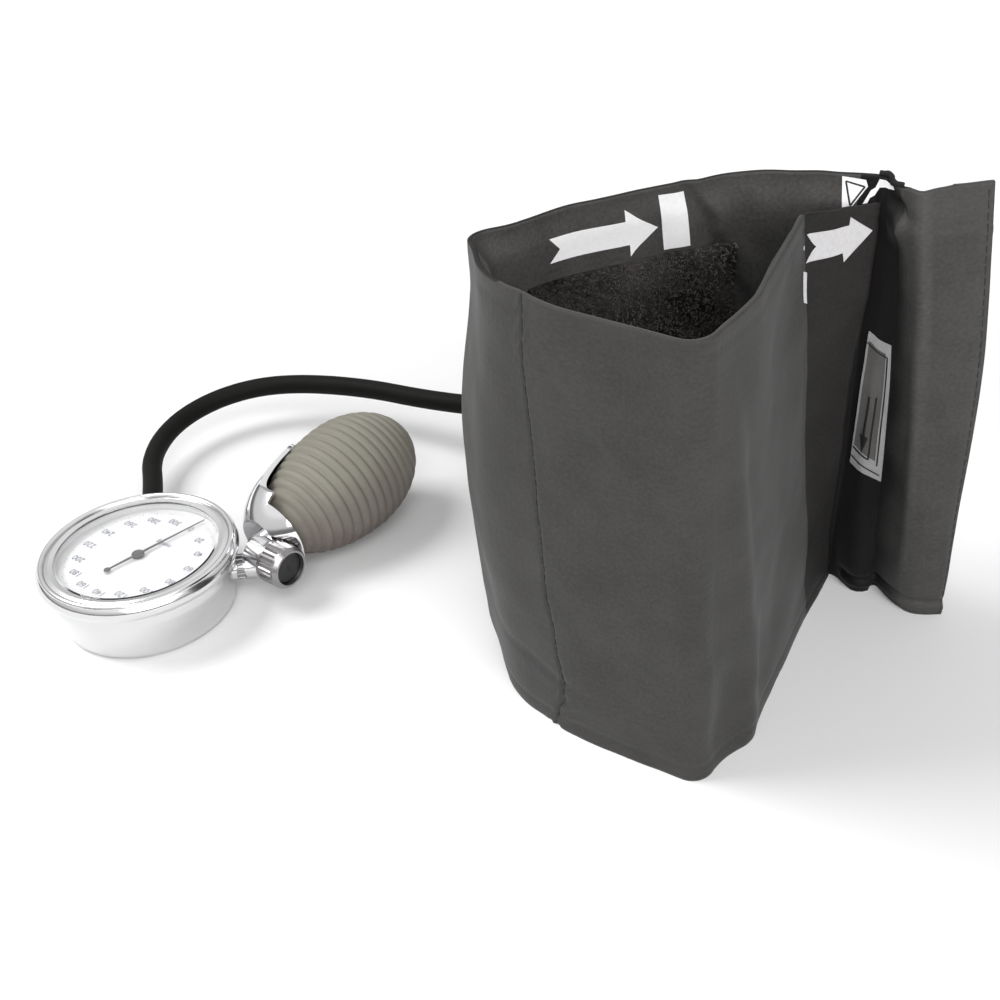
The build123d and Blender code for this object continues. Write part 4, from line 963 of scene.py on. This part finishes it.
@dataclass(frozen=True)
class Crease:
    """A crease across the cloth, on a line that may slant, at a level and for some stations."""

    depth: float
    level: float
    width: float
    middle: float
    reach: float
    slope: float = 0.0
    pivot: float = 0.0

    def rise(self, station: float, height: float) -> float:
        """How far it lifts the cloth at a place, in millimetres."""
        level = self.level + self.slope * (station - self.pivot)
        return self.depth * bump_at(level, self.width, height) * bump_at(self.middle, self.reach, station)


@dataclass(frozen=True)
class Fold:
    """Waves that run up the cloth beside a line, which is a station at each height.

    A wave is a depth, its offset and width in stations, and its lean with height. The ends are
    pairs of heights between which the fold comes in.
    """

    line: Table
    waves: tuple[tuple[float, float, float, float], ...]
    ends: tuple[Pair, ...]
    around: Pair | None = None
    upright_at: float = 120.0

    def rise(self, station: float, height: float) -> float:
        """How far it lifts the cloth at a place, in millimetres."""
        share = math.prod(smooth(*end, height) for end in self.ends)
        if self.around:
            share *= bump_at(*self.around, station)
        aside = station - table_value(self.line, height)
        return share * sum(depth * bump_at(offset, width, aside + lean * (height - self.upright_at))
                           for depth, offset, width, lean in self.waves)


@dataclass(frozen=True)
class Tape:
    """A patch of fastening tape: a backing and the loops or hooks on it."""

    name: str
    outline: Table
    thickness_mm: float
    node: str
    slot: str
    backing: Finish
    fibre: Finish
    growth: dict[str, float]


class Side(Enum):
    """Which face of the cuff's sheet a thing lies on."""

    OUTER = "outer"
    INNER = "inner"


@dataclass(frozen=True)
class Print:
    """A thin flat shape on the sheet, flagged where it lies on the fold."""

    name: str
    outline: Table
    side: Side = Side.INNER
    finish: Finish = Finish.CUFF_INK
    folds: bool = False
    lift_mm: float = 0.12


@dataclass(frozen=True)
class Strokes:
    """Thin dark lines from place to place on the inner face of the fold or the tail."""

    name: str
    places: Table
    width_mm: float
    lift_mm: float


class Part(Enum):
    """Which part of a closed shell a face belongs to."""

    OUTER = "outer"
    INNER = "inner"
    RIM = "rim"
    EDGE = "edge"


def shell_faces(outer: Grid, inner: Grid) -> Iterator[tuple[Part, int, Sequence[bmesh.types.BMVert]]]:
    """Closes two grids of columns into one shell.

    Args:
        outer: Columns of the outer face, each from its foot to its rim.
        inner: Columns of the inner face.

    Yields:
        The part, the column and the corners of each face.
    """
    top = len(outer[0]) - 1
    for i in range(len(outer) - 1):
        for j in range(top):
            yield Part.OUTER, i, (outer[i][j], outer[i][j + 1], outer[i + 1][j + 1], outer[i + 1][j])
            yield Part.INNER, i, (inner[i][j], inner[i + 1][j], inner[i + 1][j + 1], inner[i][j + 1])
        yield Part.EDGE, i, (outer[i][0], outer[i + 1][0], inner[i + 1][0], inner[i][0])
        yield Part.RIM, i, (outer[i][top], inner[i][top], inner[i + 1][top], outer[i + 1][top])
    for j in range(top):
        yield Part.EDGE, 0, (outer[0][j], inner[0][j], inner[0][j + 1], outer[0][j + 1])
        yield Part.EDGE, len(outer) - 2, (outer[-1][j], outer[-1][j + 1], inner[-1][j + 1], inner[-1][j])


@dataclass
class Cuff:
    """The arm cuff: one folded sheet with its tail, prints, pile, label and stitches.

    An outline's corners are stations and heights. A table named after a place on the cloth holds
    its station at some heights, and rim_mm and foot_mm hold a rise at some stations.
    """

    paints: Paintbox
    line: GuideLine = CUFF_LINE
    height_mm: float = 140.0
    last_station: float = 14.0
    full_depth_mm: float = 5.2
    tail_depth_mm: float = 2.4
    hem_depth_mm: float = 1.3
    hem_mm: float = 9.0
    columns: tuple[int, ...] = (20, 30, 26, 28, 44, 30, 30, 26, 26, 12, 12, 12, 12, 12)
    rows: int = 90
    # Stations where the sheet's slots change; the near end and the rim from rim_colour_change to far_column
    # take the lining's painted shade
    near_column: float = 1.0
    fold_column: float = 8.75
    far_column: float = 11.5
    rim_colour_change: float = 4.9
    back_from: Pair = (6.0, 6.3)
    back_to: Pair = (8.5, 8.2)
    back_share: float = 0.55
    hinge_mm: tuple[float, float, float] = (117.0, 6.0, 0.0)
    hinge_across: tuple[float, float, float] = (1.0, 0.0, -0.0179)
    seam: Table = ((0, 4.30), (4, 4.246), (12, 4.134), (20, 4.141), (34, 4.233), (55, 4.367), (81, 4.413),
                   (111, 4.397), (140, 4.388))
    rim_mm: Table = ((0, -4.6), (0.5, -3.0), (1.05, -0.8), (3, -1.0), (4.5, 0), (5.5, -0.8), (6.05, -2.6),
                     (6.7, 0.3), (7.62, 0.9), (8.2, 1.6), (8.6, 1.0), (9.3, 0.8), (10.5, -0.6), (12, -0.8),
                     (13, 0.2), (14, 0.6))
    foot_mm: Table = ((0, 0.5), (0.6, 0), (10.3, 0), (11.0, 1.6), (11.6, 0), (14, 0))
    # Station at each height up to which the near end wears the lining's painted shade
    near_cloth: Table = ((0, 0.77), (47, 0.825), (83, 0.90), (115, 0.98), (140, 1.05))
    # Station at each height where the tail's painted fold shade ends
    far_cloth: Table = ((0, 11.62), (110, 11.56), (132, 10.98), (140, 10.9))
    ridge: Fold = Fold(((0, 11.82), (42, 11.89), (77, 11.96), (109, 12.04), (140, 12.04)),
                       ((-0.9, 0, 0.1, 0),), ((4, 30),))
    facet_edge: Fold = Fold(((0, 2.30), (7, 2.25), (24, 2.12), (52, 2.30), (98, 2.464), (140, 2.6)),
                            ((2.3, 0, 0.2, 0), (-1.3, 0.5, 0.25, 0)), ((130, 90),))
    wall_fold: Fold = Fold(((60, 8.0), (102, 7.945), (113, 7.85), (127, 7.70), (140, 7.55)),
                           ((2.2, 0, 0.06, 0), (-1.6, 0.12, 0.07, 0), (1.2, -0.35, 0.08, 0.004),
                            (-1.0, 0.42, 0.1, 0)), ((40, 90), (146, 128)), (7.8, 0.6))
    creases: tuple[Crease, ...] = (
        Crease(-0.9, 22, 16, 1.75, 0.22),
        Crease(-0.5, 118, 2.4, 3.62, 0.22, -14, 3.62),
        Crease(0.5, 112, 2.6, 3.7, 0.2, -14, 3.62),
        Crease(0.55, 122, 3.0, 3.75, 0.28, 52, 3.95),
        Crease(-0.5, 108, 3.0, 2.95, 0.4),
        Crease(-0.5, 20, 1.8, 4.5, 0.7, 5, 4.4),
        Crease(2.6, 134, 2.4, 11.0, 0.8, -2.5, 11),
        Crease(-2.2, 128.5, 2.6, 10.9, 0.5),
    )
    # Depth and level of each hem's line, and the stations over which it comes in
    hem_lines: tuple[tuple[float, float, float, float], ...] = (
        (-0.28, 135.6, 5.6, 5.0), (-0.28, 4.6, 5.6, 5.0), (-0.5, 127, 12.2, 12.6), (-1.1, 3.0, 9.2, 9.6),
        (0.9, 5.6, 9.2, 9.6))
    hem_line_mm: float = 0.9
    soft: Rumple = Rumple(34.0, 1.5, (3.1, 0, 0))
    fine: Rumple = Rumple(11.0, 0.34, (0, 7.7, 0))
    crumple: Rumple = Rumple(9.0, 2.6)
    crumple_sink: float = 0.9
    seam_scale: float = 27.0
    seam_groove: float = 0.45
    seam_bank: float = 0.12
    pucker: float = 0.14
    tapes: tuple[Tape, ...] = (
        Tape("pile", ((6.35, 24.0), (6.35, 120.8), (6.775, 121.2), (7.258, 121.4), (7.9, 121.6),
                      (7.9, 24.0)), 1.7, "pile_patch", "pile", Finish.PILE_BASE, Finish.PILE,
             {"Density": 1250000.0, "Size": 0.00048, "Seed": 3}),
        Tape("hook", ((0.1, 6.0), (0.1, 134.0), (0.6, 134.0), (0.6, 6.0)),
             1.2, "hook_tape", "hook", Finish.HOOK_BASE, Finish.HOOK,
             {"Density": 600000.0, "Size": 0.00045, "Seed": 5}),
    )
    prints: tuple[Print, ...] = (
        Print("print_arrow_inside", ((6.481, 133.2), (6.543, 129.6), (6.481, 126.2), (7.076, 125.9),
                                     (7.085, 122.6), (7.32, 129.2), (7.03, 135.9), (7.031, 132.7))),
        Print("print_bar_inside", ((7.325, 137.9), (7.538, 137.5), (7.566, 122.6), (7.37, 122.3))),
        # The near end's prints take the white ink darkened as painted shade
        Print("print_arrow_end", ((0.994, 134.3), (0.798, 130.5), (1.0, 126.0), (0.453, 127.4),
                                  (0.429, 124.5), (0.078, 132.8), (0.368, 137.4), (0.374, 135.0)),
              Side.OUTER, Finish.END_INK),
        Print("print_bar_end", ((1.07, 124.0), (0.965, 123.2), (0.965, 113.9), (1.07, 114.8)),
              Side.OUTER, Finish.END_INK),
        Print("print_dot_end", ((1.09, 131.6), (1.05, 131.4), (1.05, 130.2), (1.09, 130.4)),
              Side.OUTER, Finish.END_INK),
        Print("print_fold_block", ((8.603, 139.4), (8.771, 138.6), (8.79, 136.9), (8.694, 131.4),
                                   (8.632, 131.5)), folds=True),
        Print("print_fold_band", ((8.768, 132.3), (8.813, 136.0), (8.993, 139.3), (10.4, 139.8),
                                  (10.5, 139.0), (9.054, 137.0), (8.813, 134.0), (8.801, 132.6)),
              folds=True),
    )
    fold_triangle: Strokes = Strokes("print_fold_triangle", ((8.634, 138.1), (8.769, 136.8), (8.686, 132.0),
                                                             (8.634, 138.1)), 0.5, 0.20)
    label: Table = ((9.503, 94.2), (10.735, 91.8), (10.835, 43.2), (9.297, 47.2))
    label_mm: float = 0.35
    label_prints: tuple[Print, ...] = (
        Print("label_panel", ((0.1, 0.05), (0.84, 0.07), (0.8, 0.87), (0.08, 0.84)), Side.INNER,
              Finish.LABEL_PANEL, True, 0.62),
        Print("label_arrow", ((0.38, 0.42), (0.46, 0.42), (0.44, 0.72), (0.56, 0.72), (0.40, 0.86),
                              (0.26, 0.72), (0.35, 0.72)), Side.INNER, Finish.LABEL_INK, True, 0.70),
    )
    label_lines: tuple[Strokes, ...] = (
        Strokes("label_frame", ((0.66, 0.40), (0.62, 0.88), (0.06, 0.86)), 0.55, 0.72),
        Strokes("label_edge", ((0.02, 0.07), (0.9, 0.09), (0.86, 0.9)), 0.4, 0.72),
        Strokes("label_foot", ((0.0, 0.935), (0.95, 0.96)), 0.5, 0.72),
    )
    stitch: tuple[Pair, ...] = (("Pitch", 0.0031), ("Length", 0.0021), ("Thickness", 0.00017))
    stitch_lift_mm: float = 0.05
    cord_run: Pair = (8.95, 11.2)
    cord_steps: int = 40
    cord_radius: float = 0.0008

    def relief(self, station: float, height: float, spot: Vector) -> float:
        """Creases and fullness of the cloth.

        Args:
            station: Place along the guide line.
            height: Height on the flat sheet, in millimetres.
            spot: The same place seen from above, in millimetres.

        Returns:
            How far the cloth stands off its guide line, in millimetres.
        """
        place = Vector((spot.x, spot.y, height))
        total = self.soft.at(place) * smooth(0.0, 16.0, height) * smooth(0.0, 14.0, self.height_mm - height)
        total += self.fine.at(place)
        crumple = abs(self.crumple.at(place)) - self.crumple_sink
        total += crumple * bump_at(10.4, 1.2, station) * smooth(108, 130, height)
        across = (station - table_value(self.seam, height)) * self.seam_scale
        near_seam = bump_at(0, 5, across)
        total += self.seam_bank * near_seam - self.seam_groove * bump_at(0, 0.7, across)
        gathers = math.sin(height * 0.95 + across) * (1 + 2 * smooth(30, 0, height))
        total += self.pucker * near_seam * gathers
        for shape in (*self.creases, self.facet_edge, self.ridge, self.wall_fold):
            total += shape.rise(station, height)
        for depth, level, start, end in self.hem_lines:
            total += depth * bump_at(level, self.hem_line_mm, height) * smooth(start, end, station)
        return total

    def edge_height(self, station: float, height: float) -> float:
        """Height of a row above the table, after the sheet's edges wander, in millimetres."""
        share = height / self.height_mm
        rim = table_value(self.rim_mm, station) + noise.noise(Vector((station * 2.1, 2.0, 7.0))) * 0.3
        foot = table_value(self.foot_mm, station)
        return max(0.0, height + rim * smooth(0.35, 1.0, share) + foot * smooth(0.3, 0.0, share))

    def depth(self, station: float, height: float) -> float:
        """Thickness of the sheet in millimetres: thin at its hems, full over the bladder."""
        full = self.full_depth_mm
        full += (self.tail_depth_mm - full) * smooth(8.5, 9.0, station)
        fill = smooth(0.0, self.hem_mm, min(height, self.height_mm - height))
        fill *= smooth(0.62, 1.1, station) * smooth(0.0, 0.4, self.last_station - station)
        return self.hem_depth_mm + (full - self.hem_depth_mm) * fill

    def point(self, station: float, height: float, side: Side, lift: float = 0.0) -> Vector:
        """A point on one face of the sheet.

        Args:
            station: Place along the guide line.
            height: Height on the sheet, in millimetres.
            side: The outer or the inner face.
            lift: Distance off that face, in millimetres.

        Returns:
            The point, in metres.
        """
        spot, direction = self.line.at(station, height)
        thick = self.depth(station, height)
        back = smooth(*self.back_from, station) * smooth(*self.back_to, station)
        off = self.relief(station, height, spot) - self.back_share * (self.full_depth_mm - thick) * back
        off = off + lift if side is Side.OUTER else off - thick - lift
        spot = spot + Vector((-direction.y, direction.x)) * off
        return Vector((spot.x, spot.y, self.edge_height(station, height))) * MM

    def outwards(self, spot: Pair, side: Side) -> Vector:
        """Direction away from one face of the sheet at a station and a height."""
        return (self.point(*spot, side, 1.0) - self.point(*spot, side)).normalized()

    def stations(self, first: float, last: float) -> list[float]:
        """Stations of the sheet's columns, closer together round the bends."""
        places = [run + step / count for run, count in enumerate(self.columns) for step in range(count)]
        return [first, *(place for place in places if first < place < last), last]

    def levels(self) -> list[float]:
        """Heights of the sheet's rows, closer together at the hems."""
        shares = [step / self.rows for step in range(self.rows + 1)]
        return [(share - math.sin(2 * math.pi * share) * 0.07) * self.height_mm for share in shares]

    def drawn(self, station: float, height: float) -> float:
        """Station of a column once the edge of the lining's painted shade has drawn its column to itself.
        """
        pull = table_value(self.near_cloth, height) - self.near_column
        return station + pull * max(0.0, 1 - abs(station - self.near_column) / 0.6)

    def reverse_share(self, station: float, height: float) -> float:
        """Share of painted shade on the tail's inner face: 1 in the fold, less beyond it, and least on the
        ridge, where it falls below 0 as a painted highlight.
        """
        turn = table_value(self.far_cloth, height) + noise.noise(Vector((3.0, station, height / 9))) * 0.2
        # A painted highlight along the ridge
        wear_and_ridge_highlight = bump_at(table_value(self.ridge.line, height), 0.11, station)
        return smooth(turn + 0.45, turn - 0.55, station) - 0.35 * wear_and_ridge_highlight

    def slot_of(self, part: Part, station: float) -> int:
        """Slot of a face of the sheet: 0 the cover, 1 the lining, 2 the lining darkened as painted shade
        and 3 the tail.
        """
        if part is Part.INNER:
            return 1 if station < self.fold_column else 3
        in_fold = part is Part.RIM and self.rim_colour_change < station < self.far_column
        return 2 if station < self.near_column or in_fold else 0

    def sheet(self) -> Object:
        """Builds the folded sheet, closed at its hems and ends."""
        stations, levels = self.stations(0.0, self.last_station), self.levels()
        book = bmesh.new()
        uv = book.loops.layers.uv.new("weave")
        outer, inner = ([[book.verts.new(self.point(self.drawn(station, level), level, side))
                          for level in levels] for station in stations] for side in Side)
        travelled = [0.0]
        middle = len(levels) // 2
        for before, after in zip(outer, outer[1:]):
            travelled.append(travelled[-1] + (after[middle].co - before[middle].co).length)
        reach = {vert: (along, level * MM) for grid in (outer, inner)
                 for column, along in zip(grid, travelled) for vert, level in zip(column, levels)}
        for part, column, corners in shell_faces(outer, inner):
            face = book.faces.new(corners)
            face.material_index = self.slot_of(part, (stations[column] + stations[column + 1]) / 2)
            face.smooth = True
            for loop in face.loops:
                loop[uv].uv = reach[loop.vert]
        bmesh.ops.recalc_face_normals(book, faces=book.faces)
        mesh = mesh_from(book, "cuff_sheet")
        # Painted shade in the tail's fold and a painted highlight on its ridge, kept on the points
        shares = [self.reverse_share(station, level)
                  for _ in Side for station in stations for level in levels]
        mesh.attributes.new("reverse", "FLOAT", "POINT").data.foreach_set("value", shares)
        piece = self.paints.coat(new_object("cuff_sheet", mesh), Finish.CUFF, Finish.LINING, Finish.REVERSE,
                                 Finish.TAIL)
        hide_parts("cuff_cover", "cuff_lining", "cuff_tail")
        self.bend_with_tail(piece)
        return piece

    def bend_with_tail(self, piece: Object) -> None:
        """Bakes a piece's placement into its mesh, without tying it to the tail."""
        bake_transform(piece)

    def bladder(self) -> Object:
        """Builds the inflatable bag between the sheet's two faces, flat at its edges."""
        low, high, steps = 9.0, 131.0, 40
        levels = [low + (high - low) * step / steps for step in range(steps + 1)]

        def spot(station: float, level: float, share: float) -> Vector:
            """A point between the two faces, as a share of the way from the outer one."""
            near, far = (self.point(station, level, side) for side in Side)
            full = smooth(0, 6, min(level - low, high - level))
            return near.lerp(far, 0.5 + (share - 0.5) * (0.15 + 0.85 * full))

        book = bmesh.new()
        near, far = ([[book.verts.new(spot(station, level, share)) for level in levels]
                      for station in self.stations(2.3, 7.9)] for share in (0.3, 0.72))
        for _, _, corners in shell_faces(near, far):
            book.faces.new(corners)
        bmesh.ops.recalc_face_normals(book, faces=book.faces)
        mesh = mesh_from(book, "bladder_bag")
        mesh.shade_smooth()
        piece = self.paints.coat(new_object("bladder_bag", mesh), Finish.LATEX)
        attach(piece, "instrument")
        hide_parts("bladder")
        return piece

    def patch(self, name: str, outline: Table, side: Side, lift: float, finish: Finish, cell: float,
              thickness: float = 0.0) -> Object:
        """Lays a flat shape on the sheet.

        Args:
            name: The piece's name.
            outline: Corners as station and height in millimetres.
            side: The face it lies on.
            lift: Height of the shape's own face above the sheet, in millimetres.
            finish: What it is made of.
            cell: Largest size of its faces, in millimetres.
            thickness: Thickness of the shape below that face, in millimetres, or none for a print.

        Returns:
            The piece.
        """
        station_mm = 30.0
        book = bmesh.new()
        book.faces.new([book.verts.new((station * station_mm, height, 0.0)) for station, height in outline])
        for axis in (0, 1):
            low, *_, high = sorted(vert.co[axis] for vert in book.verts)
            for step in range(1, math.ceil((high - low) / cell)):
                plane, normal = Vector((0, 0, 0)), Vector((0, 0, 0))
                plane[axis], normal[axis] = low + cell * step, 1.0
                geometry = [*book.verts, *book.edges, *book.faces]
                bmesh.ops.bisect_plane(book, geom=geometry, plane_co=plane, plane_no=normal)
        bmesh.ops.triangulate(book, faces=[face for face in book.faces if len(face.verts) > 4])
        if thickness:
            made = bmesh.ops.extrude_face_region(book, geom=[*book.faces])["geom"]
            for vert in (item for item in made if isinstance(item, bmesh.types.BMVert)):
                vert.co.z = -thickness
        uv = book.loops.layers.uv.new("weave")
        for face in book.faces:
            for loop in face.loops:
                loop[uv].uv = (loop.vert.co.x * MM, loop.vert.co.y * MM)
        for vert in book.verts:
            vert.co = self.point(vert.co.x / station_mm, vert.co.y, side, lift + vert.co.z)
        book.normal_update()
        if thickness:
            bmesh.ops.recalc_face_normals(book, faces=book.faces)
        elif sum((face.normal for face in book.faces), Vector()).dot(self.outwards(outline[0], side)) < 0:
            bmesh.ops.reverse_faces(book, faces=book.faces)
        mesh = mesh_from(book, name)
        shade_smooth(mesh)
        return self.paints.coat(new_object(name, mesh), finish)

    def printed(self, shape: Print) -> Object:
        """Prints a shape on the sheet, and ties it to the instrument unless it lies on the fold."""
        piece = self.patch(shape.name, shape.outline, shape.side, shape.lift_mm, shape.finish, cell=1.5)
        if shape.folds:
            self.bend_with_tail(piece)
        else:
            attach(piece, "instrument")
        return piece

    def stroked(self, lines: Strokes) -> Object:
        """Draws thin dark lines between places on the inner face of the fold or the tail."""
        book = bmesh.new()
        steps = 12
        for first, second in zip(lines.places, lines.places[1:]):
            start, end = Vector(first), Vector(second)
            spots = [self.point(*start.lerp(end, step / steps), Side.INNER, lines.lift_mm)
                     for step in range(steps + 1)]
            run = (spots[-1] - spots[0]).normalized()
            across = run.cross(self.outwards(first, Side.INNER)).normalized() * lines.width_mm * MM / 2
            left, right = ([book.verts.new(spot + across * way) for spot in spots] for way in (1, -1))
            for step in range(steps):
                book.faces.new((left[step], left[step + 1], right[step + 1], right[step]))
        piece = self.paints.coat(new_object(lines.name, mesh_from(book, lines.name)), Finish.LABEL_INK)
        self.bend_with_tail(piece)
        return piece

    def furry(self, tape: Tape) -> list[Object]:
        """Lays a tape on the inner face: its backing, and the fibres that grow on its face."""
        thick = tape.thickness_mm
        base, ground = (self.patch(f"{tape.name}_{part}", tape.outline, Side.INNER, thick, tape.backing,
                                   cell, below)
                        for part, cell, below in (("backing", 2.0, thick * 0.9), ("ground", 3.0, 0.0)))
        values = {"Fibre": self.paints.get(tape.fibre), **tape.growth}
        pieces = [base, tuft_tree().grow(f"{tape.name}_fibres", ground, values)]
        for piece in pieces:
            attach(piece, "instrument")
        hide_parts(tape.node)
        return pieces

    def label_spots(self, shares: Table) -> Table:
        """Places on the label, from shares of its width and height from its top left corner."""
        left_top, right_top, right_foot, left_foot = (Vector(corner) for corner in self.label)
        return tuple(tuple(left_top.lerp(right_top, across).lerp(left_foot.lerp(right_foot, across), down))
                     for across, down in shares)

    def sewn_label(self) -> list[Object]:
        """Makes the label of the tail: a pale border, a grey panel, its frame and a long arrow."""
        cloth = self.patch("label_cloth", self.label, Side.INNER, 0.55, Finish.LABEL, 1.5, self.label_mm)
        self.bend_with_tail(cloth)
        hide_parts("tail_label")
        shapes = [replace(shape, outline=self.label_spots(shape.outline)) for shape in self.label_prints]
        lines = [replace(line, places=self.label_spots(line.places)) for line in self.label_lines]
        return [cloth, *map(self.printed, shapes), *map(self.stroked, lines)]

    def stitches(self) -> list[Object]:
        """Sews the front seam and the free end of the tail."""
        top, lift = round(self.height_mm), self.stitch_lift_mm
        front = [self.point(table_value(self.seam, height), height, Side.OUTER, lift)
                 for height in range(1, top)]
        end = [self.point(self.last_station - 0.12, height, Side.INNER, lift)
               for height in range(3, top - 2)]
        made = []
        tree = stitch_tree()
        for name, points, body, thread in (("seam_stitches", front, "instrument", Finish.THREAD),
                                           ("tail_stitches", end, "tail", Finish.TAIL_THREAD)):
            mesh = bpy.data.meshes.new(f"{name}_line")
            mesh.from_pydata(points, [(i, i + 1) for i in range(len(points) - 1)], [])
            values = {**dict(self.stitch), "Thread": self.paints.get(thread)}
            made.append(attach(tree.grow(name, new_object(mesh.name, mesh), values), body))
        return made

    def rolled_hem(self) -> Object:
        """Rolls the rim's hem over the crumpled fold, where it stands up as a dark cord in the lining's
        painted shade.
        """
        first, last = self.cord_run
        points = []
        for step in range(self.cord_steps + 1):
            station = first + (last - first) * step / self.cord_steps
            near, far = (self.point(station, self.height_mm, side) for side in Side)
            points.append((near + far) / 2 + Vector((0, 0, 0.0004 + 0.0009 * bump_at(9.7, 0.6, station))))
        mesh = plain_mesh(cord_through("fold_hem", points, self.cord_radius, "POLY", 3), "fold_hem")
        mesh.shade_smooth()
        # The cord takes the lining darkened as painted shade
        piece = self.paints.coat(new_object("fold_hem", mesh), Finish.REVERSE)
        self.bend_with_tail(piece)
        return piece

    def build(self, nodes: dict[str, Object]) -> list[Object]:
        """Makes the sheet and everything on it."""
        self.paints.dress(nodes, {Finish.PORT: ("bladder_port", "port_grommet")})
        pieces = [self.sheet(), self.bladder(), self.rolled_hem(), *map(self.printed, self.prints),
                  self.stroked(self.fold_triangle)]
        for tape in self.tapes:
            pieces += self.furry(tape)
        return pieces + self.sewn_label() + self.stitches()


@dataclass(frozen=True)
class Studio:
    """White floor, soft lamps and the photograph's camera, whose angles are in degrees."""

    focal_px: float = 1400.0
    frame_px: float = 1000.0
    sensor_mm: float = 36.0
    pitch: float = 34.055
    roll: float = 5.854
    stand: tuple[float, float, float] = (0.0102, -0.3562, 0.28626)
    floor_reach: float = 3.0
    floor_tones: Pair = (0.85, 0.87)
    # Distances from the middle, and the glow at each
    glow_between: Pair = (0.24, 0.60)
    glow: Pair = (0.0, 0.40)
    room_light: float = 0.35
    # How far up a mirrored direction points, and the room's tone there
    room_tones: Table = ((-1.0, 0.45), (-0.05, 0.40), (0.02, 0.16), (0.14, 0.22), (0.24, 0.70),
                         (0.48, 0.78), (0.60, 1.0), (1.0, 1.0))

    def camera(self) -> None:
        """Sets the camera where the photograph was taken from."""
        pitch, roll = math.radians(self.pitch), math.radians(self.roll)
        forward = Vector((0, math.cos(pitch), -math.sin(pitch)))
        right = Vector((1, 0, 0))
        down = forward.cross(right)
        level = right * math.cos(roll) + down * math.sin(roll)
        fall = -right * math.sin(roll) + down * math.cos(roll)
        data = bpy.data.cameras.new("photograph")
        data.sensor_width = self.sensor_mm
        data.lens = data.sensor_width * self.focal_px / self.frame_px
        data.clip_start = 0.01
        camera = new_object("photograph", data)
        camera.matrix_world = (Matrix.Translation(self.stand)
                               @ Matrix((level, -fall, -forward)).transposed().to_4x4())
        bpy.context.scene.camera = camera

    def lamp(self, name: str, place: Sequence[float], target: Sequence[float], size: float,
             power: float) -> None:
        """Adds one square soft lamp.

        Args:
            name: The lamp's name.
            place: Where it stands.
            target: What it points at.
            size: Its width.
            power: Its strength, in watts.
        """
        data = bpy.data.lights.new(name, "AREA")
        data.size = size
        data.energy = power
        away = Vector(target) - Vector(place)
        turn = away.to_track_quat("-Z", "Y").to_matrix().to_4x4()
        new_object(name, data).matrix_world = Matrix.Translation(place) @ turn

    def floor(self) -> None:
        """Lays the white floor, which stays white to the camera and takes a soft shadow."""
        mesh = bpy.data.meshes.new("floor")
        corners = ((-1, -1), (1, -1), (1, 1), (-1, 1))
        spots = [(x * self.floor_reach, y * self.floor_reach, 0) for x, y in corners]
        mesh.from_pydata(spots, [], [(0, 1, 2, 3)])
        shader = Shader("floor_white")
        cloud = shader.noise(shader.place(), scale=3.0, detail=2)
        dark, light = ((tone, tone, tone) for tone in self.floor_tones)
        shader.feed({"Base Color": shader.tone(cloud, 0.0, dark, light), "Roughness": 0.6,
                     "Specular IOR Level": 0.2})
        path = shader.add("ShaderNodeLightPath")
        seen = shader.math("MAXIMUM", path["Is Camera Ray"], path["Is Glossy Ray"])
        away = shader.add("ShaderNodeVectorMath", {0: shader.place()}, operation="LENGTH")["Value"]
        share = shader.span(away, self.glow_between, self.glow)
        glow = shader.add("ShaderNodeEmission", {"Strength": shader.math("MULTIPLY", seen, share)})[0]
        shader.show(shader.add("ShaderNodeAddShader", {0: shader.surface.outputs[0], 1: glow})[0])
        mesh.materials.append(shader.material)
        new_object("floor", mesh)

    def world(self) -> None:
        """Lights the room evenly; metal sees a pale ceiling over a darker horizon, the camera white."""
        world = bpy.data.worlds.new("room")
        bpy.context.scene.world = world
        world.use_nodes = True
        nodes = Nodes(world.node_tree)
        light = nodes.tree.nodes["Background"]
        nodes.fill(light, {"Color": WHITE, "Strength": self.room_light})
        up = nodes.rise(nodes.add("ShaderNodeTexCoord")["Generated"])
        tones = [((rise + 1) / 2, (tone, tone, tone)) for rise, tone in self.room_tones]
        tint = nodes.ramp(nodes.span(up, source=(-1.0, 1.0)), *tones)
        mirrored = nodes.add("ShaderNodeBackground", {"Color": tint})[0]
        white = nodes.add("ShaderNodeBackground", {"Color": WHITE})[0]
        path = nodes.add("ShaderNodeLightPath")
        gloss = {0: path["Is Glossy Ray"], 1: light.outputs[0], 2: mirrored}
        seen = {0: path["Is Camera Ray"], 1: nodes.add("ShaderNodeMixShader", gloss)[0], 2: white}
        nodes.show(nodes.add("ShaderNodeMixShader", seen)[0], "World Output")

    def build(self) -> None:
        """Sets the whole studio."""
        bpy.context.scene.view_settings.view_transform = "Standard"
        self.camera()
        self.floor()
        self.world()
        self.lamp("key", (-0.75, 0.22, 1.12), (0.0, 0.0, 0.05), size=0.70, power=12.6)
        self.lamp("front", (0.28, -1.25, 1.05), (0.0, 0.0, 0.06), size=1.4, power=25.0)


def main() -> None:
    """Builds the dressed model round the frame."""
    logging.basicConfig(level=logging.INFO, format="%(name)s: %(message)s")
    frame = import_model()
    nodes = frame["nodes"]
    paints = Paintbox()
    pieces = [*Gauge(paints).build(nodes), *Handset(paints).build(nodes), *Hose(paints).build(),
              *Cuff(paints).build(nodes)]
    for piece in pieces:
        LOG.info("made %s", piece.name)
    Studio().build()


if __name__ == "__main__":
    main()
